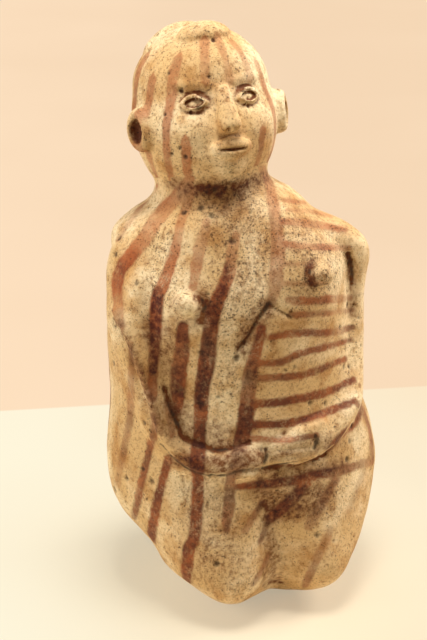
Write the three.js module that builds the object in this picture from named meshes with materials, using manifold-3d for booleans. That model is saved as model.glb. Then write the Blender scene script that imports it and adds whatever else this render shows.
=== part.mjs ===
// A hooded water bottle in the form of a kneeling figure, hand-built in fired clay.
//
// The body is one hollow wall. The head is a hood that closes over the neck, so the bottle fills
// and pours through a round mouth at the back of the head. Arms, hands, feet, ears, nipples, hair
// knot and the parts of the face are lumps of clay, luted on the wall before firing.
//
// Millimetres, +Z up. The figure faces -Y, and its left side is +X. The origin is on the flat
// underside, on the axis of the body. A turn is in degrees from the front, towards +X. A level is
// counted in rings of the wall: 0 is the first ring, 1 the second, and -1 is the closed end.

import * as THREE from "three";
import { mergeVertices } from "three/addons/utils/BufferGeometryUtils.js";
import Module from "manifold-3d";

const wasm = await Module();
wasm.setup();

// Walls and seams
const wallThickness = 6;
const hoodThickness = 4.5;
const seamGap = 0.3;
const overrun = 4;

// Rings of the body wall, from the widest at the hips up to the neck. Each has its rise above the
// ring below it, its reach from its middle to the sides, the front and the back, and how far its
// middle leans to the right of the axis.
const hips = { rise: 58, side: 57, front: 45, back: 51, lean: 1 };
const waist = { rise: 35, side: 51.5, front: 42, back: 54.5, lean: 5.5 };
const breast = { rise: 42, side: 50, front: 41, back: 51, lean: 8 };
const shoulders = { rise: 20, side: 44, front: 34, back: 42.5, lean: 11 };
const slope = { rise: 12, side: 36, front: 28, back: 36, lean: 15 };
const neck = { rise: 8, side: 23.5, front: 21, back: 24, lean: 15 };

// Towards the neck the rings are set back, rolled to the right, and tipped back
const neckSetBack = 3;
const spineAngles = { roll: 8, pitch: 8 };

// The rounded underside is cut flat where it rests
const restDepth = 3;

// How square the closed ends are: 2 is an ellipse
const squareShares = { underside: 2.05, crown: 2 };

// Levels of the ends of the linings, and of what sits on the walls
const levelShares = {
  liningFloor: -0.62, liningCrown: -0.9, nipple: 2.2, hairKnot: -0.66, pouringMouth: -0.42,
};

// Legs, folded under the body, and pushed out of the wall from inside
const knee = { turn: 28, height: 12, reach: 27, spread: 16 };
const hipJoint = { turn: 80, height: 44, reach: 3, spread: 17 };

// The chest stands out round each nipple
const chestSwell = { reach: 4, spread: 14 };
const nipple = { radius: 3.9, reach: 4.6 };
const nippleTurns = { right: -38, left: 34.5 };

// Arms: how far each stands out of the wall at most, and its largest half width. Then its places on
// the wall, from the shoulder to the finger tips, with its shares of both sizes there.
const rightArm = { out: 6, halfWidth: 14 };
const rightArmShares = [
  { turn: -72, level: 3.55, out: 0.2, width: 0.7 },
  { turn: -77, level: 3.05, out: 0.55, width: 0.9 },
  { turn: -78, level: 2.6, out: 0.85, width: 1.0 },
  { turn: -74, level: 2.1, out: 1.0, width: 0.89 },
  { turn: -69, level: 1.68, out: 1.0, width: 0.68 },
  { turn: -63, level: 1.28, out: 0.87, width: 0.46 },
  { turn: -57, level: 0.88, out: 0.83, width: 0.36 },
  { turn: -49, level: 0.56, out: 0.8, width: 0.34 },
  { turn: -38, level: 0.45, out: 0.77, width: 0.33 },
  { turn: -26, level: 0.42, out: 0.73, width: 0.33 },
  { turn: -16, level: 0.42, out: 0.7, width: 0.34 },
  { turn: -6.5, level: 0.43, out: 0.63, width: 0.31 },
];
const leftArm = { out: 9.5, halfWidth: 12.5 };
const leftArmShares = [
  { turn: 74, level: 3.3, out: 0.3, width: 0.7 },
  { turn: 80, level: 2.8, out: 0.8, width: 0.9 },
  { turn: 83, level: 2.45, out: 1.0, width: 1.0 },
  { turn: 83, level: 2.1, out: 0.89, width: 0.96 },
  { turn: 82, level: 1.75, out: 0.74, width: 0.8 },
  { turn: 79, level: 1.4, out: 0.58, width: 0.6 },
  { turn: 72, level: 1.05, out: 0.46, width: 0.45 },
  { turn: 60, level: 0.82, out: 0.44, width: 0.4 },
  { turn: 48, level: 0.7, out: 0.44, width: 0.38 },
  { turn: 36, level: 0.59, out: 0.48, width: 0.42 },
  { turn: 18, level: 0.53, out: 0.46, width: 0.45 },
  { turn: -2.5, level: 0.49, out: 0.4, width: 0.4 },
];
const lumpBed = 3;

// Shares of an arm's length: where the wrist is cut, where the fingers part, and the thumb
const wristShare = 0.82;
const knuckleShare = 0.89;
const thumbShares = { from: 0.845, to: 0.945 };
const thumbHalf = 1.8;
const fingerCount = 4;

// Shares of the fingers: how far their roots reach into the palm, how much the outer ones are
// shorter, and how much each finger and toe fills its place
const fingerShares = { root: 0.3, shorter: 0.02, fill: 1.15 };

// Shares of the length of each limb that its rounded end takes
const roundShares = { shoulder: 0.3, finger: 0.5, foot: 0.5, nose: 0.2 };

// Feet, tucked behind the seat with the soles up
const foot = { turn: 155, start: 27, reach: 47, halfWidth: 10.5, height: 15, tread: 1.5 };
const toe = { count: 5, root: 9, length: 2, height: 9 };

// The head, in its own frame, from the middle of its neck opening. Its rings go down from the brow,
// each with its drop, and a domed crown closes it above.
const brow = { side: 27, front: 27, back: 29, lean: 0 };
const cheeks = { drop: 13, side: 29, front: 29, back: 30.5, lean: 0 };
const jaw = { drop: 13, side: 26, front: 27.5, back: 26.5, lean: 0 };
const nape = { drop: 9, side: 21.5, front: 20.5, back: 22, lean: 0 };
const crownRise = 25;
const headAngles = { pitch: 14, lean: 3 };
const collarRise = 5;
const collarWaist = 1.2;
const headShift = { side: 0, front: 2 };

// The face stands out at the chin and the cheeks, and sinks at the eyes
const faceTurns = { eye: 24, cheek: 36 };
const faceSwells = { chin: 2, cheek: 1, eye: -1.8, spread: 6.5 };

// Heights on the face, as shares of the head's height
const faceShares = {
  chin: 0.07, lips: 0.2, noseBase: 0.29, cheek: 0.33, ear: 0.37, eye: 0.5, noseTop: 0.585,
};

// Parts of the face and head: half widths, half heights, and how far they stand out
const eye = { half: 5.6, lidHalf: 3.2, out: 2.2 };
const nose = { baseHalf: 5.4, topHalf: 2.4, baseOut: 8, topOut: 1.6 };
const lips = { half: 8, upperHeight: 3.2, lowerHeight: 3.8, out: 2.6 };
const ear = { half: 5.2, halfHeight: 8.4, out: 3.8 };
const earAngles = { turn: 75, swivel: 12 };
const hairKnot = { half: 10.5, halfDepth: 5, out: 2.8 };

// The mouth of the bottle, at the back of the head
const pouringMouth = { radius: 12, lipWidth: 3.6, lipRise: 0.6 };
const lipBed = 7;

// Facets
const bodyColumns = 48;
const bowlRows = 9;
const upperRows = 21;
const bodyLiningRows = 10;
const headColumns = 40;
const domeRows = 8;
const faceRows = 12;
const headLiningRows = 7;
const collarRows = 3;
const noseRows = 8;
const footRows = 5;
const limbSides = 12;
const armRows = 22;
const handRows = 3;
const fingerSides = 7;
const fingerRows = 5;
const lumpSides = 16;
const lipArcSteps = 4;

const degrees = Math.PI / 180;
const xAxis = new THREE.Vector3(1, 0, 0);
const yAxis = new THREE.Vector3(0, 1, 0);
const zAxis = new THREE.Vector3(0, 0, 1);

const mix = (from, to, share) => from + (to - from) * share;

const bell = (distance, spread) => Math.exp(-((distance / spread) ** 2) / 2);

function ease(t) {
  const clamped = Math.min(Math.max(t, 0), 1);
  return clamped ** 2 * (3 - 2 * clamped);
}

// Even steps from one value to another, both included
const steps = (count, from = 0, to = 1) =>
  Array.from({ length: count + 1 }, (_, i) => mix(from, to, i / count));

// The smooth curve through values at even steps, at a place counted in steps
function through(values, place) {
  const step = Math.min(Math.max(Math.floor(place), 0), values.length - 2);
  const t = place - step;
  const here = values[step];
  const next = values[step + 1];
  const before = step > 0 ? values[step - 1] : 2 * here - next;
  const after = step + 2 < values.length ? values[step + 2] : 2 * next - here;
  const slopeHere = (next - before) / 2;
  const slopeNext = (after - here) / 2;
  const rise = next - here;
  return here + slopeHere * t
    + (3 * rise - 2 * slopeHere - slopeNext) * t ** 2
    + (slopeHere + slopeNext - 2 * rise) * t ** 3;
}

// One closed skin over rings of points, each ring with the same count. Both ends are closed by
// fans to their centres, or the last ring is joined to the first.
function skin(rings, looped = false) {
  const count = rings[0].length;
  const points = rings.flat();
  const faces = [];
  const last = rings.length - 1;
  for (let k = 0; k < (looped ? rings.length : last); k++) {
    const a = k * count;
    const b = ((k + 1) % rings.length) * count;
    for (let i = 0; i < count; i++) {
      const j = (i + 1) % count;
      faces.push(a + i, a + j, b + j, a + i, b + j, b + i);
    }
  }
  for (const end of looped ? [] : [0, last]) {
    const pole = points.push(middleOf(rings[end])) - 1;
    for (let i = 0; i < count; i++) {
      const here = end * count + i;
      const next = end * count + ((i + 1) % count);
      faces.push(pole, ...(end === 0 ? [next, here] : [here, next]));
    }
  }
  const geometry = new THREE.BufferGeometry().setFromPoints(points);
  geometry.setIndex(faces);
  return geometry;
}

function solidOf(geometry) {
  const bare = geometry.clone();
  for (const name of Object.keys(bare.attributes)) {
    if (name !== "position") {
      bare.deleteAttribute(name);
    }
  }
  const merged = mergeVertices(bare);
  return new wasm.Manifold(new wasm.Mesh({
    numProp: 3,
    vertProperties: new Float32Array(merged.attributes.position.array),
    triVerts: new Uint32Array(merged.index.array),
  }));
}

function geometryOf(solid) {
  const { vertProperties, triVerts } = solid.getMesh();
  const geometry = new THREE.BufferGeometry();
  geometry.setAttribute("position", new THREE.BufferAttribute(new Float32Array(vertProperties), 3));
  geometry.setIndex(new THREE.BufferAttribute(new Uint32Array(triVerts), 1));
  geometry.computeVertexNormals();
  return geometry;
}

// Walls

// A wall's form: a rounded closed end, then rings. The height of each ring is measured from the
// first one, along the wall.
function wallForm(rings, drops, cap) {
  const heights = [0];
  for (const drop of drops) {
    heights.push(heights.at(-1) + drop);
  }
  return { rings, heights, cap };
}

function formRing({ rings, heights, cap }, level) {
  if (level < 0) {
    const angle = (1 + Math.max(level, -1)) * 90 * degrees;
    const fill = Math.sin(angle) ** (2 / cap.squareness);
    const { side, front, back } = rings[0];
    return {
      height: -cap.rise * Math.cos(angle) ** (2 / cap.squareness),
      side: side * fill,
      front: front * fill,
      back: back * fill,
      lean: rings[0].lean,
      fill,
    };
  }
  return {
    height: through(heights, level),
    side: through(rings.map((ring) => ring.side), level),
    front: through(rings.map((ring) => ring.front), level),
    back: through(rings.map((ring) => ring.back), level),
    lean: through(rings.map((ring) => ring.lean), level),
    fill: 1,
  };
}

// The plain distance from the axis to a ring, at a turn
function ringReach(ring, turn) {
  const across = Math.sin(turn * degrees);
  const ahead = Math.cos(turn * degrees);
  return 1 / Math.hypot(across / ring.side, ahead / (ahead > 0 ? ring.front : ring.back));
}

const atTurn = (turn, reach, height) =>
  new THREE.Vector3(Math.sin(turn * degrees) * reach, -Math.cos(turn * degrees) * reach, height);

// The way out of a wall that is given by a turn and a level
function outward(wall, turn, level) {
  const turnStep = 0.5;
  const levelStep = 0.02;
  const along = wall.point(turn + turnStep, level).sub(wall.point(turn - turnStep, level));
  const up = wall.point(turn, Math.min(level + levelStep, wall.top))
    .sub(wall.point(turn, Math.max(level - levelStep, levelStep - 1)));
  return along.cross(up).multiplyScalar(wall.upwards).normalize();
}

// A ring of points on a wall, moved along its normals, anticlockwise from above
function wallRing(wall, level, columns, offset = 0) {
  return steps(columns, -180, 180).slice(1).map((turn) => {
    const point = wall.point(turn, level);
    return offset ? point.addScaledVector(outward(wall, turn, level), offset) : point;
  });
}

const middleOf = (ring) =>
  ring.reduce((sum, point) => sum.add(point), new THREE.Vector3()).divideScalar(ring.length);

// A ring drawn in towards its middle
function drawnIn(ring, distance) {
  const middle = middleOf(ring);
  return ring.map((point) => middle.clone().sub(point).setLength(distance).add(point));
}

// A flat ring moved along its own axis
function movedUp(ring, distance) {
  const third = Math.floor(ring.length / 3);
  const up = ring[third].clone().sub(ring[0]).cross(ring[2 * third].clone().sub(ring[0]));
  return ring.map((point) => point.clone().addScaledVector(up.normalize(), distance));
}

// The body wall

const bodyRings = [hips, waist, breast, shoulders, slope, neck];
const bodyForm = wallForm(bodyRings, bodyRings.slice(1).map((ring) => ring.rise), {
  rise: hips.rise + restDepth,
  squareness: squareShares.underside,
});
const bodyTop = hips.rise + bodyForm.heights.at(-1);

// Where a point of a level ring goes on the bent spine of the body
function onSpine(point, lean) {
  const lift = ease(point.z / bodyTop);
  const height = point.z;
  return point.setZ(0)
    .applyAxisAngle(yAxis, -spineAngles.roll * lift ** 2 * degrees)
    .applyAxisAngle(xAxis, -spineAngles.pitch * lift ** 3 * degrees)
    .add(new THREE.Vector3(-lean, neckSetBack * lift, height));
}

// How far the legs and the breasts stand out of the plain wall
function bodySwell(turn, height) {
  const arc = (from, to) => (to - from) * degrees * hips.side;
  const chestHeight = hips.rise + formRing(bodyForm, levelShares.nipple).height;
  let reach = 0;
  for (const side of [-1, 1]) {
    const run = arc(side * hipJoint.turn, side * knee.turn);
    const drop = knee.height - hipJoint.height;
    const along = arc(side * hipJoint.turn, turn);
    const down = height - hipJoint.height;
    const share = Math.min(Math.max((along * run + down * drop) / (run ** 2 + drop ** 2), 0), 1);
    reach += mix(hipJoint.reach, knee.reach, share ** 2)
      * bell(
        Math.hypot(along - run * share, down - drop * share),
        mix(hipJoint.spread, knee.spread, share),
      );
  }
  for (const turnThere of Object.values(nippleTurns)) {
    reach += chestSwell.reach
      * bell(Math.hypot(arc(turnThere, turn), height - chestHeight), chestSwell.spread);
  }
  return reach;
}

const body = {
  top: bodyRings.length - 1,
  upwards: 1,
  point(turn, level) {
    const ring = formRing(bodyForm, level);
    const height = Math.max(hips.rise + ring.height, 0);
    const reach = ringReach(ring, turn) + bodySwell(turn, height) * Math.sqrt(ring.fill);
    return onSpine(atTurn(turn, reach, height), ring.lean);
  },
};

const bodyLevels = [
  ...steps(bowlRows, -1, 0).slice(1),
  ...steps(upperRows, 0, body.top).slice(1),
];

// A hollow wall: the outside from the closed end to the rim, and the lining back again. At the rim
// the lining is drawn in, so that the rim is flat.
function hollowWall(wall, levels, innerLevels, columns, thickness) {
  const outside = levels.map((level) => wallRing(wall, level, columns));
  const lining = innerLevels.slice(0, -1).map((level) => wallRing(wall, level, columns, -thickness));
  lining.push(drawnIn(outside.at(-1), thickness));
  const rings = [...outside, ...lining.reverse()];
  return skin(wall.upwards > 0 ? rings : rings.reverse());
}

function bodyWall() {
  const lining = steps(bodyLiningRows, levelShares.liningFloor, body.top);
  return hollowWall(body, bodyLevels, lining, bodyColumns, wallThickness);
}

// The head wall, in the head's frame

const headRings = [brow, cheeks, jaw, nape];
const headForm = wallForm(headRings, headRings.slice(1).map((ring) => ring.drop), {
  rise: crownRise,
  squareness: squareShares.crown,
});
const browHeight = headForm.heights.at(-1);
const headHeight = browHeight + crownRise;

function headSwell(turn, height) {
  const arc = (from, to) => (to - from) * degrees * brow.side;
  const swell = (reach, turnThere, share) => reach
    * bell(Math.hypot(arc(turnThere, turn), height - share * headHeight), faceSwells.spread);
  let reach = swell(faceSwells.chin, 0, faceShares.chin);
  for (const side of [-1, 1]) {
    reach += swell(faceSwells.eye, side * faceTurns.eye, faceShares.eye);
    reach += swell(faceSwells.cheek, side * faceTurns.cheek, faceShares.cheek);
  }
  return reach;
}

const head = {
  top: headRings.length - 1,
  upwards: -1,
  point(turn, level) {
    const ring = formRing(headForm, level);
    const height = browHeight - ring.height;
    return atTurn(turn, ringReach(ring, turn) + headSwell(turn, height) * ring.fill, height);
  },
};

const headLevels = [
  ...steps(domeRows, -1, 0).slice(1),
  ...steps(faceRows, 0, head.top).slice(1),
];

// The level of the head's wall at a height over its neck opening
function headLevelAt(height) {
  let above = -1;
  let below = head.top;
  while (below - above > 1e-6) {
    const middle = (above + below) / 2;
    if (head.point(0, middle).z > height) {
      above = middle;
    } else {
      below = middle;
    }
  }
  return (above + below) / 2;
}

// Where the head sits on the neck
const headSeat = new THREE.Object3D();
headSeat.position.copy(onSpine(atTurn(0, 0, bodyTop), neck.lean));
headSeat.position.add(new THREE.Vector3(headShift.side, -headShift.front, collarRise));
headSeat.rotation.set(-headAngles.pitch * degrees, -headAngles.lean * degrees, 0);
headSeat.updateMatrixWorld();

// Frames on a wall

function wallFrame(wall, turn, level) {
  const normal = outward(wall, turn, level);
  const up = zAxis.clone().projectOnPlane(normal).normalize();
  const across = up.clone().cross(normal);
  return new THREE.Matrix4().makeBasis(across, up, normal).setPosition(wall.point(turn, level));
}

// A lump of clay on a wall, in rings drawn in towards its middle. The outline gives a place at an
// angle, and the contour the rings: each one's share of the outline, and its height off the wall.
function lump(frame, outline, contour, wallRadius, sides = lumpSides) {
  return skin(contour.map(({ share, rise }) => steps(sides, 0, 360).slice(1).map((angle) => {
    const { x, y } = outline(angle * degrees);
    const sag = Math.hypot(x * share, y * share) ** 2 / (2 * wallRadius);
    return new THREE.Vector3(x * share, y * share, rise - sag).applyMatrix4(frame);
  })));
}

const oval = (half, halfHeight) => (angle) => ({
  x: half * Math.cos(angle),
  y: halfHeight * Math.sin(angle),
});

// An oval with pointed corners at its sides
const almond = (half, halfHeight) => (angle) => ({
  x: half * Math.cos(angle),
  y: halfHeight * Math.sin(angle) * Math.abs(Math.sin(angle)) ** 0.5,
});

// Limbs

// The frame of a limb at a share of its length: along it, across it and out of the wall
function limbFrame(wall, { out: mostOut, halfWidth, places }, share) {
  const place = share * (places.length - 1);
  const turnThere = (p) => through(places.map((there) => there.turn), p);
  const levelThere = (p) => through(places.map((there) => there.level), p);
  const pointThere = (p) => wall.point(turnThere(p), levelThere(p));
  const placeStep = 0.05;
  const along = pointThere(place + placeStep).sub(pointThere(place - placeStep)).normalize();
  const out = outward(wall, turnThere(place), levelThere(place));
  const across = along.clone().cross(out).normalize();
  return {
    point: pointThere(place),
    along,
    across,
    out: across.clone().cross(along),
    reach: mostOut * through(places.map((there) => there.out), place),
    width: halfWidth * through(places.map((there) => there.width), place),
  };
}

// One ring round a limb, from its bed in the wall to how far it stands out
function limbRing(frame, { offset = 0, half, reach, advance = 0, sides = limbSides }) {
  const middle = (reach - lumpBed) / 2;
  const halfDepth = (reach + lumpBed) / 2;
  return steps(sides, 0, 360).slice(1).map((angle) => frame.point.clone()
    .addScaledVector(frame.along, advance)
    .addScaledVector(frame.across, offset - half * Math.cos(angle * degrees))
    .addScaledVector(frame.out, middle + halfDepth * Math.sin(angle * degrees)));
}

// How full a rounded end is, at a share of the way from its tip to its full section
const rounding = (share) => Math.sqrt(Math.max(1 - (1 - Math.min(share, 1)) ** 2, 0));

// Shares of a length, from its start to just short of its tip, closer together near the tip
const tipShares = (rows) => steps(rows).slice(0, -1).map((share) => 1 - (1 - share) ** 2);

const keepOuts = new Map([
  [body, solidOf(skin(bodyLevels.map((level) => wallRing(body, level, bodyColumns, seamGap))))],
  [head, solidOf(skin(headLevels.toReversed()
    .map((level) => wallRing(head, level, headColumns, seamGap))))],
]);

// A lump or limb, cut where it meets the wall that carries it
const laidOn = (wall, solid) => geometryOf(solid.subtract(keepOuts.get(wall)));

function arm(limb) {
  const rings = steps(armRows, 0, wristShare).slice(1).map((share) => {
    const frame = limbFrame(body, limb, share);
    const full = rounding(share / (wristShare * roundShares.shoulder));
    return limbRing(frame, { half: frame.width * full, reach: frame.reach * full });
  });
  return laidOn(body, solidOf(skin(rings)));
}

function hand(limb) {
  const palm = steps(handRows, wristShare, knuckleShare).map((share, i) => {
    const frame = limbFrame(body, limb, share);
    return limbRing(frame, { half: frame.width, reach: frame.reach, advance: i ? 0 : seamGap });
  });
  let made = solidOf(skin(palm));
  const digit = (from, to, offsetThere, halfThere) => {
    const rings = tipShares(fingerRows).map((share) => {
      const frame = limbFrame(body, limb, mix(from, to, share));
      const full = rounding((1 - share) / roundShares.finger);
      return limbRing(frame, {
        offset: offsetThere(frame),
        half: halfThere(frame) * full,
        reach: frame.reach * full,
        sides: fingerSides,
      });
    });
    made = made.add(solidOf(skin(rings)));
  };
  for (let i = 0; i < fingerCount; i++) {
    const share = (2 * i + 1) / fingerCount - 1;
    digit(
      mix(knuckleShare, wristShare, fingerShares.root),
      1 - fingerShares.shorter * Math.abs(share),
      (frame) => frame.width * share,
      (frame) => (frame.width / fingerCount) * fingerShares.fill,
    );
  }
  const thumbSide = Math.sign(limb.places[0].turn);
  digit(
    thumbShares.from,
    thumbShares.to,
    (frame) => thumbSide * (frame.width + thumbHalf / 2),
    () => thumbHalf,
  );
  return laidOn(body, made);
}

// The neck collar closes the wedge between the rim of the body and the head
function neckCollar() {
  const low = movedUp(wallRing(body, body.top, headColumns), seamGap);
  const seat = wallRing(head, head.top, headColumns);
  const high = movedUp(seat.map((point) => point.applyMatrix4(headSeat.matrixWorld)), -seamGap);
  const ringAt = (share, thickness) => drawnIn(
    low.map((point, i) => point.clone().lerp(high[i], share)),
    collarWaist * Math.sin(share * 180 * degrees) + thickness,
  );
  const shares = steps(collarRows);
  return skin([
    ...shares.map((share) => ringAt(share, 0)),
    ...shares.toReversed().map((share) => ringAt(share, mix(wallThickness, hoodThickness, share))),
  ], true);
}

function headHood() {
  const lining = steps(headLiningRows, levelShares.liningCrown, head.top);
  const wall = hollowWall(head, headLevels, lining, headColumns, hoodThickness);
  const hole = new THREE.CylinderGeometry(
    pouringMouth.radius,
    pouringMouth.radius,
    2 * (hoodThickness + overrun),
    headColumns,
  );
  hole.rotateX(90 * degrees).applyMatrix4(wallFrame(head, 180, levelShares.pouringMouth));
  return geometryOf(solidOf(wall).subtract(solidOf(hole)));
}

// The lip round the pouring mouth
function mouthRim() {
  const { radius, lipWidth, lipRise } = pouringMouth;
  const half = lipWidth / 2;
  const profile = [new THREE.Vector2(radius, -lipBed), new THREE.Vector2(radius + lipWidth, -lipBed)];
  for (const angle of steps(lipArcSteps, 0, 180)) {
    profile.push(new THREE.Vector2(
      radius + half + half * Math.cos(angle * degrees),
      lipRise - half + half * Math.sin(angle * degrees),
    ));
  }
  const ring = new THREE.LatheGeometry([...profile, profile[0]], headColumns);
  ring.rotateX(90 * degrees).applyMatrix4(wallFrame(head, 180, levelShares.pouringMouth));
  return laidOn(head, solidOf(ring));
}

function lumpOn(wall, turn, level, outline, contour, { swivel = 0, radius = brow.side } = {}) {
  const frame = wallFrame(wall, turn, level);
  frame.multiply(new THREE.Matrix4().makeRotationY(swivel * degrees));
  return solidOf(lump(frame, outline, contour, radius));
}

// Contours of lumps, as shares of the outline and of how far the lump stands out
const contourOf = (shares, out) => [
  { share: 1, rise: -lumpBed },
  ...shares.map(([share, riseShare]) => ({ share, rise: riseShare * out })),
];
const moundShares = [[1, 0.3], [0.92, 0.62], [0.72, 0.88], [0.4, 1]];
const cupShares = [[1, 0.55], [0.94, 0.9], [0.8, 1], [0.66, 0.9], [0.54, 0.5], [0.3, 0.42]];
const lidShares = [[1, 0.25], [0.88, 0.85], [0.74, 1], [0.62, 0.9], [0.56, 0.5], [0.4, 0.75], [0.2, 0.9]];

const nippleOn = (turn) => laidOn(body, lumpOn(
  body,
  turn,
  levelShares.nipple,
  oval(nipple.radius, nipple.radius),
  contourOf(moundShares, nipple.reach),
  { radius: waist.side },
));

const earOn = (side) => laidOn(head, lumpOn(
  head,
  side * earAngles.turn,
  headLevelAt(faceShares.ear * headHeight),
  oval(ear.half, ear.halfHeight),
  contourOf(cupShares, ear.out),
  { swivel: -side * earAngles.swivel },
));

const eyeOn = (side) => laidOn(head, lumpOn(
  head,
  side * faceTurns.eye,
  headLevelAt(faceShares.eye * headHeight),
  almond(eye.half, eye.lidHalf),
  contourOf(lidShares, eye.out),
));

const hairKnotOn = () => laidOn(head, lumpOn(
  head,
  0,
  levelShares.hairKnot,
  oval(hairKnot.half, hairKnot.halfDepth),
  contourOf(moundShares, hairKnot.out),
));

// A lip is a half oval on its side of the seam between the two
function lip(side, height) {
  const outline = (angle) => ({
    x: lips.half * Math.cos(angle),
    y: side * (Math.max(side * Math.sin(angle), 0) * height + seamGap / 2),
  });
  const level = headLevelAt(faceShares.lips * headHeight);
  return laidOn(head, lumpOn(head, 0, level, outline, contourOf(moundShares, lips.out)));
}

function noseOn() {
  const limb = {
    out: nose.baseOut,
    halfWidth: nose.baseHalf,
    places: steps(noseRows).map((share) => ({
      turn: 0,
      level: headLevelAt(mix(faceShares.noseTop, faceShares.noseBase, share) * headHeight),
      out: mix(nose.topOut / nose.baseOut, 1, share),
      width: mix(nose.topHalf / nose.baseHalf, 1, share ** 2),
    })),
  };
  const rings = tipShares(noseRows).map((share) => {
    const frame = limbFrame(head, limb, share);
    const full = rounding((1 - share) / roundShares.nose);
    return limbRing(frame, { half: frame.width * full, reach: frame.reach * full });
  });
  return laidOn(head, solidOf(skin(rings)));
}

// A foot, with its toes at the end, pressed flat where it treads
function footOn(side) {
  const lobe = (from, to, half, height, offset, sides) => {
    const halfHeight = (height + foot.tread) / 2;
    const middle = height - halfHeight;
    return solidOf(skin(tipShares(footRows).map((share) => {
      const full = rounding((1 - share) / roundShares.foot);
      return steps(sides, 0, 360).slice(1).map((angle) => {
        const across = offset + half * full * Math.cos(angle * degrees);
        const up = Math.max(middle + halfHeight * full * Math.sin(angle * degrees), 0);
        return new THREE.Vector3(across, -mix(from, to, share), up);
      });
    })));
  };
  let made = lobe(foot.start, foot.reach, foot.halfWidth, foot.height, 0, limbSides);
  const toeHalf = foot.halfWidth / toe.count;
  for (const share of steps(toe.count - 1, -1, 1)) {
    made = made.add(lobe(
      foot.reach - toe.root,
      foot.reach + toe.length,
      toeHalf * fingerShares.fill,
      toe.height,
      share * (foot.halfWidth - toeHalf),
      fingerSides,
    ));
  }
  const turned = geometryOf(made).rotateZ(side * foot.turn * degrees);
  return laidOn(body, solidOf(turned));
}

// Finishes: cream slip, slip rubbed thin on the small raised parts, and bare clay at the mouth
const slip = { color: 0xd9c29b, roughness: 0.85, metalness: 0 };
const rubbedSlip = { color: 0xd0b48c, roughness: 0.75, metalness: 0 };
const bareClay = { color: 0xb48a62, roughness: 0.8, metalness: 0 };

const pieces = new THREE.Group();

function add(name, geometry, finish, parent = pieces) {
  const mesh = new THREE.Mesh(geometry, new THREE.MeshStandardMaterial(finish));
  mesh.name = name;
  parent.add(mesh);
}

add("body_wall", bodyWall(), slip);
add("neck_collar", neckCollar(), slip);
const limbs = {
  right: { ...rightArm, places: rightArmShares },
  left: { ...leftArm, places: leftArmShares },
};
for (const [side, name] of [[-1, "right"], [1, "left"]]) {
  add(`${name}_arm`, arm(limbs[name]), slip);
  add(`${name}_hand`, hand(limbs[name]), slip);
  add(`${name}_nipple`, nippleOn(nippleTurns[name]), rubbedSlip);
  add(`${name}_foot`, footOn(side), slip);
}

const headPieces = new THREE.Group();
headPieces.position.copy(headSeat.position);
headPieces.rotation.copy(headSeat.rotation);
pieces.add(headPieces);
add("head_hood", headHood(), slip, headPieces);
add("mouth_rim", mouthRim(), bareClay, headPieces);
add("hair_knot", hairKnotOn(), slip, headPieces);
add("nose", noseOn(), rubbedSlip, headPieces);
add("upper_lip", lip(1, lips.upperHeight), rubbedSlip, headPieces);
add("lower_lip", lip(-1, lips.lowerHeight), rubbedSlip, headPieces);
for (const [side, name] of [[-1, "right"], [1, "left"]]) {
  add(`${name}_ear`, earOn(side), rubbedSlip, headPieces);
  add(`${name}_eye`, eyeOn(side), rubbedSlip, headPieces);
}

export default pieces;
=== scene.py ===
"""Looks of a hooded water bottle of painted clay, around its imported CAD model.

Two clay skins, one for the body and one for the head, are blended from the CAD nodes, worked like
hand-modelled clay, painted, and cut back into one closed piece for each node.
"""

import functools
import math
from itertools import product

import bmesh
import bpy
import numpy as np
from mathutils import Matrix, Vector
from mathutils.bvhtree import BVHTree


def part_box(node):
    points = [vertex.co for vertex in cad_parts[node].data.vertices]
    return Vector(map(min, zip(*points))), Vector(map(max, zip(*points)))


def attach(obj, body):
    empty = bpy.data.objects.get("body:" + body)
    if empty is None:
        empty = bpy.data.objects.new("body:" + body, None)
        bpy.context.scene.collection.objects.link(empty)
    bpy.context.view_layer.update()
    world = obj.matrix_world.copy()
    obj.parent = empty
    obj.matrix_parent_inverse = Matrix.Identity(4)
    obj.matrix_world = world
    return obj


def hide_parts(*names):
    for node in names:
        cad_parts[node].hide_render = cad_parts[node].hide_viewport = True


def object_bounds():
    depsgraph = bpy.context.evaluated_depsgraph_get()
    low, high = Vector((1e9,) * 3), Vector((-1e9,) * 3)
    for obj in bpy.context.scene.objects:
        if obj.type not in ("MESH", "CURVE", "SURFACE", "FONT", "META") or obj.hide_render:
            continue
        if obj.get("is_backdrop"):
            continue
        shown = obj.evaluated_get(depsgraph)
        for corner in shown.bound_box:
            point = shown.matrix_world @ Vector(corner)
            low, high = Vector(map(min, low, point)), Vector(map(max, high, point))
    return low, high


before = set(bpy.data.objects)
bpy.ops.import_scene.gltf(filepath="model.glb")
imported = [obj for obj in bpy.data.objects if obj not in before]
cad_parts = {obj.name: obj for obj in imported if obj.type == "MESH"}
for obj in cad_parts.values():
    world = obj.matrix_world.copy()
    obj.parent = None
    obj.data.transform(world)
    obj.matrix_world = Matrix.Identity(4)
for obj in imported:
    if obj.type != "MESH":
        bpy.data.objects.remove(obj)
cad_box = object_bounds()

# Units: sizes are named in millimetres and turned into metres where they are used
MM = 0.001

# Photograph's frame in pixels, and the camera that it was taken with
photo_width = 427
photo_height = 640
photo_focus = 1547
sensor_width = 36
camera_turn = math.radians(-18.5)
camera_rise = math.radians(22)
camera_distance = 643
camera_target = (-13.1, 4.4, 116.7)
table_edge_left = (0, 411)
table_edge_right = (427, 386)

camera_back = np.array((
    math.sin(camera_turn) * math.cos(camera_rise),
    -math.cos(camera_turn) * math.cos(camera_rise),
    math.sin(camera_rise),
))
camera_right = np.array((math.cos(camera_turn), math.sin(camera_turn), 0))
camera_up = np.cross(camera_back, camera_right)
camera_place = (np.array(camera_target) + camera_back * camera_distance) * MM
pixels_per_mm = photo_focus / camera_distance

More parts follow.
